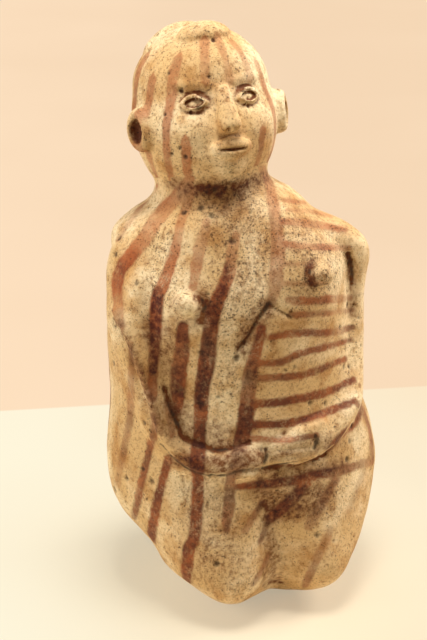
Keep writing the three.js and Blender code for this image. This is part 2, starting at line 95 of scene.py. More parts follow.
# Clay skins: the nodes that each one blends, its cell size, and how far a luted node overlaps the wall
body_skin = {
    "wall": "body_wall",
    "luted": ("neck_collar", "right_arm", "right_hand", "left_arm", "left_hand",
              "right_nipple", "left_nipple", "right_foot", "left_foot"),
    "cell": 1.02,
    "overlap": 1.0,
    "smoothing": 12,
    "axis": ((-2, 1, 28), (-12, 2, 120)),
    "stub": ("head_hood", 196),
}
head_skin = {
    "wall": "head_hood",
    "luted": ("mouth_rim", "hair_knot", "nose", "upper_lip", "lower_lip",
              "right_ear", "right_eye", "left_ear", "left_eye"),
    "cell": 0.55,
    "overlap": 0.5,
    "smoothing": 8,
    "axis": ((-16, 3, 200), (-16, 8, 216)),
    "stub": None,
}

# Making a skin: the gap that is welded in millimetres, the angle up to which triangles join into
# quads, levels of rounding, the share of the inner faces that is kept, the rounds that blend the
# wall's two sides, and how much harder than its pull a smoothing pass pushes back
weld_gap = 0.001
quad_angle = math.radians(40)
wall_rounding = 2
inner_share = 0.05
side_rounds = 3
rebound = 1.04

# Joints that are filled with clay: reach in millimetres, rounds of filling, rounds of softening;
# then the part of the reach that is filled in full, the pull of a round, and room for the search
joint_fill = {
    "neck_collar": (9, 90, 0),
    "nipple": (1.6, 1, 0),
    "arm": (5, 64, 24),
    "right_hand": (5, 40, 22),
    "left_hand": (2.4, 8, 3),
    "foot": (3, 16, 0),
    "nose": (2.6, 12, 0),
    "ear": (2.4, 18, 0),
    "mouth_rim": (3, 26, 0),
    "hair_knot": (2, 6, 0),
}
fill_core = 0.3
fill_pull = 0.6
soft_pull = 0.4
search_room = 1

# Cutting the skin into pieces, in millimetres: how far a node's ground reaches past it, how its
# piece's edge dives under the neighbour's, how thick a piece is, and a distance that stands for far
territory_reach = {"body": 1.2, "head": 0.9}
territory_rounds = 3
collar_reach = 3.6
dive_run = 1.8
dive_room = 2
dive_depth = {"body": 1.1, "head": 0.6}
shell_depth = {"body": 1.6, "head": 0.8}
far_away = 50
# Fewest vertices of a run of faces that stays in a wall
least_shell = 2000


# Noise and simple shapes of falloff
noise_seed = 11
noise_cells = 64
rng = np.random.default_rng(noise_seed)
noise_table = rng.uniform(-1, 1, (noise_cells, noise_cells, noise_cells))


def eased(share):
    return share * share * (3 - 2 * share)


def fade(value, low, high):
    """0 at low, 1 at high, smooth between."""
    return eased(np.clip((value - low) / (high - low), 0, 1))


def lumps(places, size, seed):
    """Smooth noise from -1 to 1 at places in metres, with lumps of a size in millimetres."""
    cells = places / (size * MM) + seed * math.pi
    base = np.floor(cells).astype(int)
    part = eased(cells - base)
    total = np.zeros(len(places))
    for corner in product((0, 1), repeat=3):
        weight = np.prod(np.where(np.array(corner) == 1, part, 1 - part), axis=1)
        across, along, up = ((base + corner) % noise_cells).T
        total += weight * noise_table[across, along, up]
    return total


def photo_places(places):
    """Where places in metres show in the photograph, in pixels."""
    offset = places - camera_place
    depth = -(offset @ camera_back)
    across = offset @ camera_right / depth * photo_focus + photo_width / 2
    down = -(offset @ camera_up) / depth * photo_focus + photo_height / 2
    return np.stack((across, down), axis=1)


# Drawn lines: steps from one point to the next, and the least squared run of a step in pixels
curve_steps = 4
least_run = 0.001


def smooth_line(points):
    """A run of (across, down, width) points made round with a Catmull-Rom curve."""
    rows = np.array(points, float)
    if len(rows) < 3:
        return rows
    ends = np.vstack((2 * rows[0] - rows[1], rows, 2 * rows[-1] - rows[-2]))
    line = []
    for a, b, c, d in zip(ends, ends[1:], ends[2:], ends[3:]):
        for t in np.arange(curve_steps) / curve_steps:
            line.append(0.5 * (2 * b + (c - a) * t + (2 * a - 5 * b + 4 * c - d) * t ** 2
                               + (3 * b - a - 3 * c + d) * t ** 3))
    line.append(rows[-1])
    return np.array(line)


def line_gap(seen, points):
    """Pixels from each seen place to the edge of a line of changing width, negative inside it."""
    line = smooth_line(points)
    best = np.full(len(seen), float(photo_width))
    for start, end in zip(line, line[1:]):
        run = end[:2] - start[:2]
        share = np.clip(((seen - start[:2]) @ run) / max(run @ run, least_run), 0, 1)
        middle = start + share[:, None] * (end - start)
        gap = np.linalg.norm(seen - middle[:, :2], axis=1) - middle[:, 2] / 2
        best = np.minimum(best, gap)
    return best


# Meshes as arrays
def rows_of(parts, key, width, kind):
    flat = np.empty(len(parts) * width, kind)
    parts.foreach_get(key, flat)
    return flat.reshape(-1, width)


def places_of(mesh):
    return rows_of(mesh.vertices, "co", 3, np.float32).astype(float)


def normals_of(mesh):
    return rows_of(mesh.vertex_normals, "vector", 3, np.float32).astype(float)


def put_places(mesh, places):
    mesh.vertices.foreach_set("co", places.astype(np.float32).ravel())
    mesh.update()


def edges_of(mesh):
    return rows_of(mesh.edges, "vertices", 2, np.int32)


def faces_of(mesh):
    """The corners of all faces in one array, and where each face starts."""
    return (rows_of(mesh.loops, "vertex_index", 1, np.int32).ravel(),
            rows_of(mesh.polygons, "loop_start", 1, np.int32).ravel())


def node_mesh(name):
    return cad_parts[name].data


def mesh_from(name, places, faces):
    mesh = bpy.data.meshes.new(name)
    mesh.from_pydata(places, [], faces)
    mesh.update()
    return mesh


def modified(mesh, kind, chosen=None, **settings):
    """A copy of a mesh after one modifier, which may be held to the chosen vertices."""
    carrier = bpy.data.objects.new("carrier", mesh)
    bpy.context.scene.collection.objects.link(carrier)
    modifier = carrier.modifiers.new("work", kind)
    for key, value in settings.items():
        setattr(modifier, key, value)
    if chosen is not None:
        group = carrier.vertex_groups.new(name="chosen")
        group.add([int(i) for i in chosen], 1, "REPLACE")
        modifier.vertex_group = group.name
    graph = bpy.context.evaluated_depsgraph_get()
    made = bpy.data.meshes.new_from_object(carrier.evaluated_get(graph))
    bpy.data.objects.remove(carrier)
    return made


def links(mesh):
    """A mesh's edges, and how many of them meet at each vertex."""
    edges = edges_of(mesh)
    return edges, np.maximum(np.bincount(edges.ravel(), minlength=len(mesh.vertices)), 1)


def neighbour_mean(values, edges, counts):
    sums = np.empty_like(values)
    for axis in range(values.shape[1]):
        column = values[:, axis]
        sums[:, axis] = (np.bincount(edges[:, 0], column[edges[:, 1]], len(values))
                         + np.bincount(edges[:, 1], column[edges[:, 0]], len(values)))
    return sums / counts[:, None]


def relaxed(mesh, places, rounds, pull=0.5):
    """Places smoothed without shrinking."""
    edges, counts = links(mesh)
    for _ in range(rounds):
        for share in (pull, -rebound * pull):
            places = places + share * (neighbour_mean(places, edges, counts) - places)
    return places


def softened(mesh, values, rounds, pull=0.5):
    """Rows of values, one for each vertex, drawn towards the mean of their neighbours."""
    edges, counts = links(mesh)
    for _ in range(rounds):
        values = (1 - pull) * values + pull * neighbour_mean(values, edges, counts)
    return values


def averaged(mesh, values, rounds):
    """A value of each vertex spread over its neighbours."""
    return softened(mesh, values[:, None], rounds)[:, 0]


# Making a skin
def round_copy(name):
    """A node's mesh, welded, in quads and rounded off."""
    work = bmesh.new()
    work.from_mesh(node_mesh(name))
    bmesh.ops.remove_doubles(work, verts=work.verts, dist=weld_gap * MM)
    bmesh.ops.join_triangles(work, faces=work.faces, angle_face_threshold=quad_angle,
                             angle_shape_threshold=math.pi)
    mesh = bpy.data.meshes.new(name + "_round")
    work.to_mesh(mesh)
    work.free()
    return modified(mesh, "SUBSURF", levels=wall_rounding)


def tree_of(name):
    """A search tree on a node's own mesh."""
    mesh = node_mesh(name)
    mesh.calc_loop_triangles()
    corners = [tuple(t.vertices) for t in mesh.loop_triangles]
    return BVHTree.FromPolygons([v.co for v in mesh.vertices], corners), corners


def lower_part(mesh, level):
    """What a closed mesh has below a level, closed again."""
    work = bmesh.new()
    work.from_mesh(mesh)
    everything = work.verts[:] + work.edges[:] + work.faces[:]
    cut = bmesh.ops.bisect_plane(work, geom=everything, plane_co=(0, 0, level * MM),
                                 plane_no=(0, 0, 1), clear_outer=True)["geom_cut"]
    rims = [part for part in cut if isinstance(part, bmesh.types.BMEdge)]
    bmesh.ops.bridge_loops(work, edges=rims)
    work.to_mesh(mesh)
    work.free()
    return mesh


def blended(skin):
    """One closed mesh of a wall with its luted nodes grown into it."""
    places, faces, count = [], [], 0
    copies = {name: round_copy(name) for name in (skin["wall"],) + skin["luted"]}
    if skin["stub"]:
        stub, level = skin["stub"]
        copies[stub] = lower_part(round_copy(stub), level)
    for name, copy in copies.items():
        spots = places_of(copy)
        if name in skin["luted"]:
            spots = spots + normals_of(copy) * skin["overlap"] * MM
        corners, starts = faces_of(copy)
        faces += [tuple(int(i) + count for i in face) for face in np.split(corners, starts[1:])]
        places.append(spots)
        count += len(spots)
    joined = mesh_from(skin["wall"] + "_joined", np.vstack(places), faces)
    return modified(joined, "REMESH", mode="VOXEL", voxel_size=skin["cell"] * MM)


def hollow_side(skin, places):
    """For each place, whether it lies on the wall's inner side."""
    tree, corners = tree_of(skin["wall"])
    triangles = places_of(node_mesh(skin["wall"]))[np.array(corners)]
    outward = np.cross(triangles[:, 1] - triangles[:, 0], triangles[:, 2] - triangles[:, 0])
    middles = triangles.mean(axis=1)
    low, high = (np.array(end) * MM for end in skin["axis"])
    rise = np.clip((middles[:, 2] - low[2]) / (high[2] - low[2]), 0, 1)[:, None]
    inner = np.sum(outward * (middles - low - rise * (high - low)), axis=1) < 0
    return np.array([inner[tree.find_nearest(Vector(spot))[2]] for spot in places])


def distances(name, places, reach):
    """Distance in millimetres from each place to a node, far_away beyond reach."""
    low, high = (np.array(corner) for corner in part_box(name))
    near = np.all((places > low - reach * MM) & (places < high + reach * MM), axis=1)
    gaps = np.full(len(places), float(far_away))
    tree, _ = tree_of(name)
    for index in np.flatnonzero(near):
        gaps[index] = tree.find_nearest(Vector(places[index]))[3] / MM
    return gaps


def patch_names(edges, inside):
    """A number shared by each connected run of the inside vertices, and the size of each run."""
    labels = np.where(inside, np.arange(len(inside)), -1)
    kept = edges[inside[edges[:, 0]] & inside[edges[:, 1]]]
    while True:
        lowest = np.minimum(labels[kept[:, 0]], labels[kept[:, 1]])
        before = labels.copy()
        np.minimum.at(labels, kept[:, 0], lowest)
        np.minimum.at(labels, kept[:, 1], lowest)
        labels = np.where(inside, labels[labels], -1)
        if np.array_equal(before, labels):
            break
    return labels, *np.unique(labels[inside], return_counts=True)


def trimmed(keep, corners, starts, least=None):
    """The kept vertices without small runs of faces, and without corners where faces only touch.

    A run stays if it has the least number of vertices, or if it is the largest where none is given.
    Also gives the faces whose corners are all kept, and the directed edges along their open rims."""
    counts = np.diff(np.append(starts, len(corners)))
    following = np.roll(corners, -1)
    following[starts + counts - 1] = corners[starts]
    while True:
        whole = np.logical_and.reduceat(keep[corners], starts)
        used = np.repeat(whole, counts)
        here, there = corners[used].astype(np.int64), following[used].astype(np.int64)
        rim = ~np.isin(here * len(keep) + there, there * len(keep) + here)
        rim_edges = np.stack((here[rim], there[rim]), axis=1)
        covered = np.zeros(len(keep), bool)
        covered[here] = True
        labels, names, sizes = patch_names(np.stack((here, there), axis=1), covered)
        wanted = names[sizes >= (least or sizes.max())]
        crowded = np.bincount(rim_edges[:, 0], minlength=len(keep)) > 1
        better = covered & np.isin(labels, wanted) & ~crowded
        if np.array_equal(better, keep):
            return keep, whole, rim_edges
        keep = better


def filled_joints(skin, mesh, places):
    """Places with the hollow lines along some joints filled as a thumb fills them."""
    put_places(mesh, places)
    edges, counts = links(mesh)
    for name in skin["luted"]:
        rule = joint_fill.get(name) or joint_fill.get(name.split("_")[-1])
        if not rule:
            continue
        reach, rounds, softening = rule
        weight = 1 - fade(distances(name, places, reach + search_room), reach * fill_core, reach)
        near = weight > 0
        near_edges = edges[near[edges[:, 0]] | near[edges[:, 1]]]
        for _ in range(rounds):
            normals = normals_of(mesh)
            lift = np.sum((neighbour_mean(places, near_edges, counts) - places) * normals, axis=1)
            lift = np.where(near, np.maximum(lift, 0) * weight * fill_pull, 0)
            places = places + normals * lift[:, None]
            put_places(mesh, places)
        for _ in range(softening):
            change = neighbour_mean(places, near_edges, counts) - places
            places = places + np.where(near, weight * soft_pull, 0)[:, None] * change
    put_places(mesh, places)


def territories(skin, mesh, places, reach):
    """For each luted node, how far outside its own ground each vertex is, in millimetres."""
    search = collar_reach + dive_run + dive_room
    names = skin["luted"] + ((skin["stub"][0],) if skin["stub"] else ())
    gaps = np.stack([distances(name, places, search) for name in names])
    edges = edges_of(mesh)
    grounds = {}
    for row, name in enumerate(names):
        others = np.delete(gaps, row, axis=0).min(axis=0)
        if name == "neck_collar":
            outside = gaps[row] - collar_reach
        elif name not in skin["luted"]:
            wall = distances(skin["wall"], places, search)
            collar = gaps[names.index("neck_collar")]
            outside = np.maximum((gaps[row] - wall) / 2, collar_reach - collar)
        else:
            outside = np.maximum(gaps[row] - reach, (gaps[row] - others) / 2)
        outside = averaged(mesh, outside, territory_rounds)
        labels, patches, sizes = patch_names(edges, outside < 0)
        stray = (outside < 0) & (labels != patches[np.argmax(sizes)])
        grounds[name] = np.where(stray, dive_run, outside)
    return grounds


def without(mesh, gone):
    """A mesh without the gone vertices, with its two open rims joined by a ring of faces."""
    work = bmesh.new()
    work.from_mesh(mesh)
    lost = [vertex for vertex, drop in zip(work.verts, gone) if drop]
    bmesh.ops.delete(work, geom=lost, context="VERTS")
    bmesh.ops.delete(work, geom=[edge for edge in work.edges if edge.is_wire], context="EDGES")
    bmesh.ops.bridge_loops(work, edges=[edge for edge in work.edges if edge.is_boundary])
    work.to_mesh(mesh)
    work.free()
    return mesh


def closed_patch(name, places, normals, corners, starts, keep, depth):
    """A closed piece from the skin's faces whose corners are all kept, and its own vertices."""
    keep, whole, rim = trimmed(keep, corners, starts)
    faces = [face for face, kept in zip(np.split(corners, starts[1:]), whole) if kept]
    used = np.unique(np.concatenate(faces))
    order = {int(old): new for new, old in enumerate(used)}
    count = len(used)
    outer = [tuple(order[int(i)] for i in face) for face in faces]
    inner = [tuple(i + count for i in reversed(face)) for face in outer]
    rim = [(order[int(a)], order[int(b)]) for a, b in rim]
    sides = [(b, a, a + count, b + count) for a, b in sorted(rim)]
    top = places[used]
    under = top - normals[used] * depth * MM
    return mesh_from(name, np.vstack((top, under)), outer + inner + sides), np.tile(used, 2)


def put_value(mesh, name, values):
    layer = mesh.attributes.new(name, "FLOAT", "POINT")
    layer.data.foreach_set("value", values.astype(np.float32))


# Camera, lamps, floor and backdrop
def placed(obj):
    bpy.context.scene.collection.objects.link(obj)
    return obj


def facing(direction):
    return Vector(direction).to_track_quat("Z", "Y").to_euler()


camera_data = bpy.data.cameras.new("camera")
camera_data.sensor_width = sensor_width
camera_data.lens = photo_focus / photo_height * sensor_width
camera_data.clip_start = MM
camera = placed(bpy.data.objects.new("camera", camera_data))
camera.location = camera_place
camera.rotation_euler = facing(camera_back)
bpy.context.scene.camera = camera
bpy.context.scene.view_settings.view_transform = "Standard"

# Lamps: place and aim in millimetres, width in millimetres, watts, tint
lamps = {
    "top": ((-20, -90, 660), (-10, 0, 140), 200, 2.9, (1, 0.98, 0.94)),
    "left": ((-560, 20, 260), (-10, 0, 110), 300, 1.95, (1, 0.97, 0.92)),
    "right": ((500, 10, 420), (-10, 0, 130), 260, 2.9, (1, 0.97, 0.92)),
    "front": ((-200, -640, 300), (-10, 0, 110), 420, 0.12, (1, 0.95, 0.88)),
}
for name, (place, aim, width, watts, tint) in lamps.items():
    light = bpy.data.lights.new(name, "AREA")
    light.size = width * MM
    light.energy = watts
    light.color = tint
    lamp = placed(bpy.data.objects.new(name, light))
    lamp.location = np.array(place) * MM
    lamp.rotation_euler = facing(np.array(place) - np.array(aim))


def floor_place(pixel):
    """Where the line of sight through a pixel meets the floor, in metres."""
    across = (pixel[0] - photo_width / 2) / photo_focus
    down = (pixel[1] - photo_height / 2) / photo_focus
    sight = -camera_back + across * camera_right - down * camera_up
    return camera_place - sight * camera_place[2] / sight[2]


# Node graphs: the middle value of a noise, its usual roughness, and the full step of a colour
grain_middle = 0.5
grain_roughness = 0.55
full_step = 255


def linear(color):
    """A colour in the 0 to 255 steps of a picture, brought by the sRGB curve to what a shader takes."""
    share = np.array(color, float) / full_step
    low = share / 12.92
    high = ((share + 0.055) / 1.055) ** 2.4
    return (*np.where(share <= 0.04045, low, high), 1)


class Graph:
    """The node tree of a material or of the world, with short words for the nodes in use.

    A value is a socket, a number, or a colour in the 0 to 255 steps of a picture."""

    def __init__(self, owner):
        owner.use_nodes = True
        self.tree = owner.node_tree
        self.tree.nodes.clear()

    def put(self, socket, value):
        if isinstance(value, bpy.types.NodeSocket):
            self.tree.links.new(value, socket)
        else:
            socket.default_value = linear(value) if socket.type == "RGBA" else value

    def node(self, kind, sockets=None, **settings):
        made = self.tree.nodes.new("ShaderNode" + kind)
        for key, value in settings.items():
            setattr(made, key, value)
        for socket, value in (sockets or {}).items():
            self.put(made.inputs[socket], value)
        return made

    def mix(self, share, first, second, how="MIX"):
        made = self.node("Mix", {0: share}, data_type="RGBA", blend_type=how)
        colours = [socket for socket in made.inputs if socket.type == "RGBA"]
        for socket, value in zip(colours, (first, second)):
            self.put(socket, value)
        return next(socket for socket in made.outputs if socket.type == "RGBA")

    def maths(self, how, first, second, clamp=False):
        return self.node("Math", {0: first, 1: second}, operation=how, use_clamp=clamp).outputs[0]

    def add(self, *values):
        return functools.reduce(lambda total, value: self.maths("ADD", total, value), values)

    def times(self, first, second):
        return self.maths("MULTIPLY", first, second)

    def less(self, first, second):
        return self.maths("SUBTRACT", first, second)

    def spread(self, value, low, high, start=0.0, end=1.0):
        """A value brought from low..high to start..end, with smooth shoulders."""
        sockets = {"Value": value, "From Min": low, "From Max": high, "To Min": start, "To Max": end}
        return self.node("MapRange", sockets, interpolation_type="SMOOTHSTEP").outputs["Result"]

    def where(self):
        return self.node("TexCoord").outputs["Object"]

    def grain(self, where, size, detail, roughness=grain_roughness):
        """Noise with lumps of a size in millimetres."""
        sockets = {"Vector": where, "Scale": 1 / (size * MM), "Detail": detail, "Roughness": roughness}
        return self.node("TexNoise", sockets).outputs["Fac"]

    def attribute(self, name):
        return self.node("Attribute", attribute_name=name).outputs["Fac"]

    def along(self, where, direction):
        """How far a place lies along a direction, in metres."""
        made = self.node("VectorMath", {0: where, 1: tuple(direction)}, operation="DOT_PRODUCT")
        return made.outputs["Value"]

    def seen_ray(self):
        """1 for what the camera sees, directly or in something glossy or clear."""
        path = self.node("LightPath").outputs
        seen = self.maths("ADD", path["Is Camera Ray"], path["Is Glossy Ray"], clamp=True)
        return self.maths("ADD", seen, path["Is Transmission Ray"], clamp=True)


# One pale floor in two tones: a table, and a further part in the wall's colour, as the photograph has them
stage_half = 1600 * MM
left_end, right_end = floor_place(table_edge_left), floor_place(table_edge_right)
along = (right_end - left_end) / np.linalg.norm(right_end - left_end)
away = np.array((-along[1], along[0], 0))
edge_blur = 1.2
tone_reach = 260
tone_lumps = 180
# Painted light on the floor: each tone runs from its paler first colour on the left to its darker second on
# the right
table_tones = ((255, 248, 222), (251, 230, 197))
wall_tones = ((255, 226, 193), (248, 218, 184))
# The part of the floor's own light and shadow that the camera sees, near the object and far from it
near_light = 0.56
far_light = 0.03
light_reach = (42, 120)
matt_grey = (243, 243, 243)


def pale_stage():
    """A matt surface that the camera sees pale, keeping a share of its own light and shadow."""
    material = bpy.data.materials.new("pale_stage")
    graph = Graph(material)
    where = graph.where()
    across = graph.spread(graph.along(where, along), -tone_reach * MM, tone_reach * MM)
    patchy = graph.less(graph.grain(where, tone_lumps, 1), grain_middle)
    across = graph.maths("ADD", across, patchy, clamp=True)
    edge = float(left_end @ away)
    beyond = graph.spread(graph.along(where, away), edge - edge_blur * MM, edge + edge_blur * MM)
    tone = graph.mix(beyond, graph.mix(across, *table_tones), graph.mix(across, *wall_tones))
    glow = graph.node("Emission", {"Color": tone}).outputs[0]
    matt = graph.node("BsdfDiffuse", {"Color": graph.mix(1, tone, matt_grey, "MULTIPLY")}).outputs[0]
    distance = graph.node("VectorMath", {0: where}, operation="LENGTH").outputs["Value"]
    near, far = (reach * MM for reach in light_reach)
    share = graph.times(graph.seen_ray(), graph.spread(distance, near, far, 1 - near_light, 1 - far_light))
    shader = graph.node("MixShader", {0: share, 1: matt, 2: glow}).outputs[0]
    graph.node("OutputMaterial", {"Surface": shader})
    return material


floor = placed(bpy.data.objects.new("floor", mesh_from("floor", [
    (-stage_half, -stage_half, 0), (stage_half, -stage_half, 0),
    (stage_half, stage_half, 0), (-stage_half, stage_half, 0)], [(0, 1, 2, 3)])))
floor.data.materials.append(pale_stage())

world_tint = (255, 241.05, 223.28)
world_strength = 0.125
world = bpy.data.worlds.new("world")
sky = Graph(world)
dim = sky.node("Background", {"Color": world_tint, "Strength": world_strength}).outputs[0]
pale = sky.node("Background", {"Color": wall_tones[0]}).outputs[0]
shown = sky.node("MixShader", {0: sky.seen_ray(), 1: dim, 2: pale}).outputs[0]
sky.node("OutputWorld", {"Surface": shown})
bpy.context.scene.world = world
floor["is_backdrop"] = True


# Drawn marks follow points in the photograph's pixels: across, down and width

# Painted lines: strength, points
body_paint = {
    "shoulder_edge_line": (0.8, (157, 185, 3), (135, 215, 3.5), (118, 240, 3)),
    "flank_sweep": (1, (190, 178, 9), (183, 190, 12), (160, 215, 14), (142, 243, 14), (120, 273, 12),
        (118, 303, 9), (125, 325, 4)),
    "breast_left": (1, (193, 190, 7), (189, 198, 8), (182, 219, 8), (177, 243, 8), (168, 273, 10),
        (157, 300, 12), (156, 320, 12), (155, 343, 10), (153, 365, 9), (153, 397, 7)),
    "arm_inside_end": (0.7, (166, 402, 5), (169, 410, 7), (172, 435, 5)),
    "breast_middle": (0.75, (207, 222, 6), (201, 243, 11), (195, 273, 9), (193, 286, 7)),
    "below_breast": (1, (183, 326, 9), (183, 332, 12), (182, 354, 14), (179, 370, 15), (178, 392, 13),
        (178, 412, 7)),
    "chest_middle": (1, (236, 235, 7), (233, 249, 10), (229, 273, 11), (222, 291, 12), (214, 310, 14),
        (210, 330, 14), (209, 343, 15), (206, 365, 16), (202, 387, 14), (201, 408, 13), (200, 430, 11),
        (198, 452, 14), (197, 472, 14)),
    "dividing_upper": (0.62, (262, 168, 5), (271, 192, 9), (277, 230, 12), (278, 255, 13), (275, 285, 11),
        (272, 302, 8)),
    "dividing_lower": (1, (262, 328, 7), (258, 345, 10), (252, 365, 12), (249, 387, 14), (247, 408, 15),
        (244, 430, 15), (239, 452, 13), (238, 468, 13)),
    "left_rung_1": (0.8, (284, 200, 3), (300, 202, 3.5), (315, 201, 2.5)),
    "left_rung_2": (0.6, (287, 210, 2.5), (310, 211, 3), (332, 215, 2.5)),
    "left_rung_3": (0.95, (280, 221, 6), (312, 224, 6.5), (345, 230, 5)),
    "left_rung_4": (0.9, (281, 244, 5), (315, 247, 5.5), (350, 248, 4)),
    "left_rung_5": (0.55, (284, 264, 3), (309, 264, 2.5)),
    "left_rung_6": (0.55, (277, 283, 3.5), (300, 284, 3), (326, 282, 2.5)),
    "left_rung_7": (0.95, (289, 300, 6), (310, 301, 6.5), (332, 299, 6.5), (350, 298, 5)),
    "left_rung_8": (0.8, (290, 315, 4.5), (313, 314, 4.5), (336, 312, 4), (353, 310, 3.5)),
    "left_rung_9": (0.95, (271, 337, 6), (295, 333, 6), (331, 332, 6), (352, 327, 4.5)),
    "left_rung_10": (0.95, (260, 364, 6), (279, 363, 6), (296, 355, 6), (318, 349, 5.5), (350, 340, 4)),
    "left_rung_11": (0.95, (256, 379, 6.5), (287, 377, 6), (307, 374, 6), (328, 365, 5.5), (345, 359, 4)),
    "left_rung_12": (1, (255, 404, 7), (276, 403, 7), (299, 399, 7), (323, 393, 6.5), (353, 380, 5.5)),
    "left_rung_13": (1, (252, 425, 7), (281, 424, 7), (305, 419, 7), (330, 411, 6.5), (354, 401, 5.5)),
    "left_rung_14": (0.9, (250, 439, 5), (286, 440, 5), (317, 435, 4.5)),
    "left_arm_stripe": (0.95, (360, 414, 4), (355, 425, 4.5), (342, 434, 4.5), (327, 450, 4)),
    "hip_fold": (0.8, (357, 403, 4), (368, 420, 5), (373, 440, 5), (373, 460, 4)),
    "side_line_1": (0.6, (132, 343, 5), (131, 380, 6), (130, 419, 6), (119, 470, 5), (118, 485, 4)),
    "side_line_2": (0.95, (153, 415, 5), (154, 430, 6), (143, 475, 6), (134, 518, 5)),
    "side_line_3": (1, (168, 459, 7), (160, 490, 7.5), (152, 528, 8), (152, 544, 6)),
    "thigh_middle": (1, (198, 481, 11), (197, 508, 11), (194, 538, 11), (188, 551, 11), (187, 584, 8)),
    "thigh_broad": (0.78, (231, 476, 9), (230, 490, 10), (229, 504, 11), (227, 518, 9), (226, 530, 5)),
    "knee_line_1": (0.8, (262, 503, 5), (254, 517, 6), (245, 531, 5)),
    "knee_line_2": (0.75, (271, 524, 4), (266, 534, 5), (260, 543, 4)),
    "knee_edge": (0.6, (272, 556, 4), (262, 572, 4.5), (252, 585, 3.5)),
    "lap_curve": (1, (234, 487, 3), (249, 485, 7), (286, 482, 8), (316, 475, 8), (342, 470, 8),
        (373, 461, 7)),
    "lap_line_1": (1, (306, 484, 8), (290, 501, 10), (272, 521, 9)),
    "lap_line_2": (0.9, (336, 479, 6), (324, 500, 7), (309, 526, 8)),
    "lap_line_3": (0.5, (365, 470, 4), (357, 490, 4), (348, 512, 4)),
    "shin_line_1": (0.7, (330, 530, 6), (318, 556, 7), (305, 585, 6)),
    "shin_line_2": (0.6, (372, 500, 6), (366, 530, 7), (360, 560, 6)),
}

# Thin dark lines of grime and painted shade, in creases, slits and joints and beside the nipples: strength,
# points
grime_and_shade_lines = {
    "left_nipple_spot": (0.8, (310, 266, 1), (309, 273, 2)),
    "right_nipple_shadow_spot": (0.85, (201, 299, 2), (205, 306, 3), (201, 315, 1)),
    "belly_crease_left": (0.6, (291, 317, 1), (280, 311, 1), (268, 304, 4)),
    "belly_crease_right": (0.8, (269, 305, 5), (258, 320, 2), (249, 336, 2), (238, 350, 1)),
    "arm_crease": (0.42, (166, 393, 0), (169, 404, 1), (176, 421, 2), (184, 438, 1), (204, 446, 1),
        (222, 449, 1), (252, 441, 1)),
    "arm_crease_black": (0.78, (166, 398, 0), (170, 409, 2), (176, 421, 3), (182, 433, 1)),
    "arm_crease_end": (0.75, (206, 447, 0), (215, 449, 2), (224, 449, 3), (232, 448, 0)),
    "arm_edge": (0.45, (158, 438, 1), (170, 455, 1), (184, 466, 1)),
    "band_edge": (0.75, (160, 444, 1), (174, 460, 2), (193, 474, 2), (221, 478, 2), (240, 472, 2),
        (265, 469, 2), (305, 462, 1), (325, 455, 1)),
    "left_slit": (0.9, (349, 254, 1), (352, 264, 2), (353, 276, 1), (353, 286, 0)),
    "hand_end": (0.85, (266, 448, 1), (267, 455, 3), (265, 463, 2)),
    "hand_spot": (0.6, (277, 450, 1), (280, 452, 2)),
    "notch": (0.9, (315, 435, 2), (317, 441, 4), (315, 449, 2)),
    "finger_line_1": (0.35, (274, 452, 1), (292, 449, 1), (312, 446, 1)),
    "finger_line_2": (0.3, (272, 461, 1), (292, 459, 1), (312, 455, 1)),
}
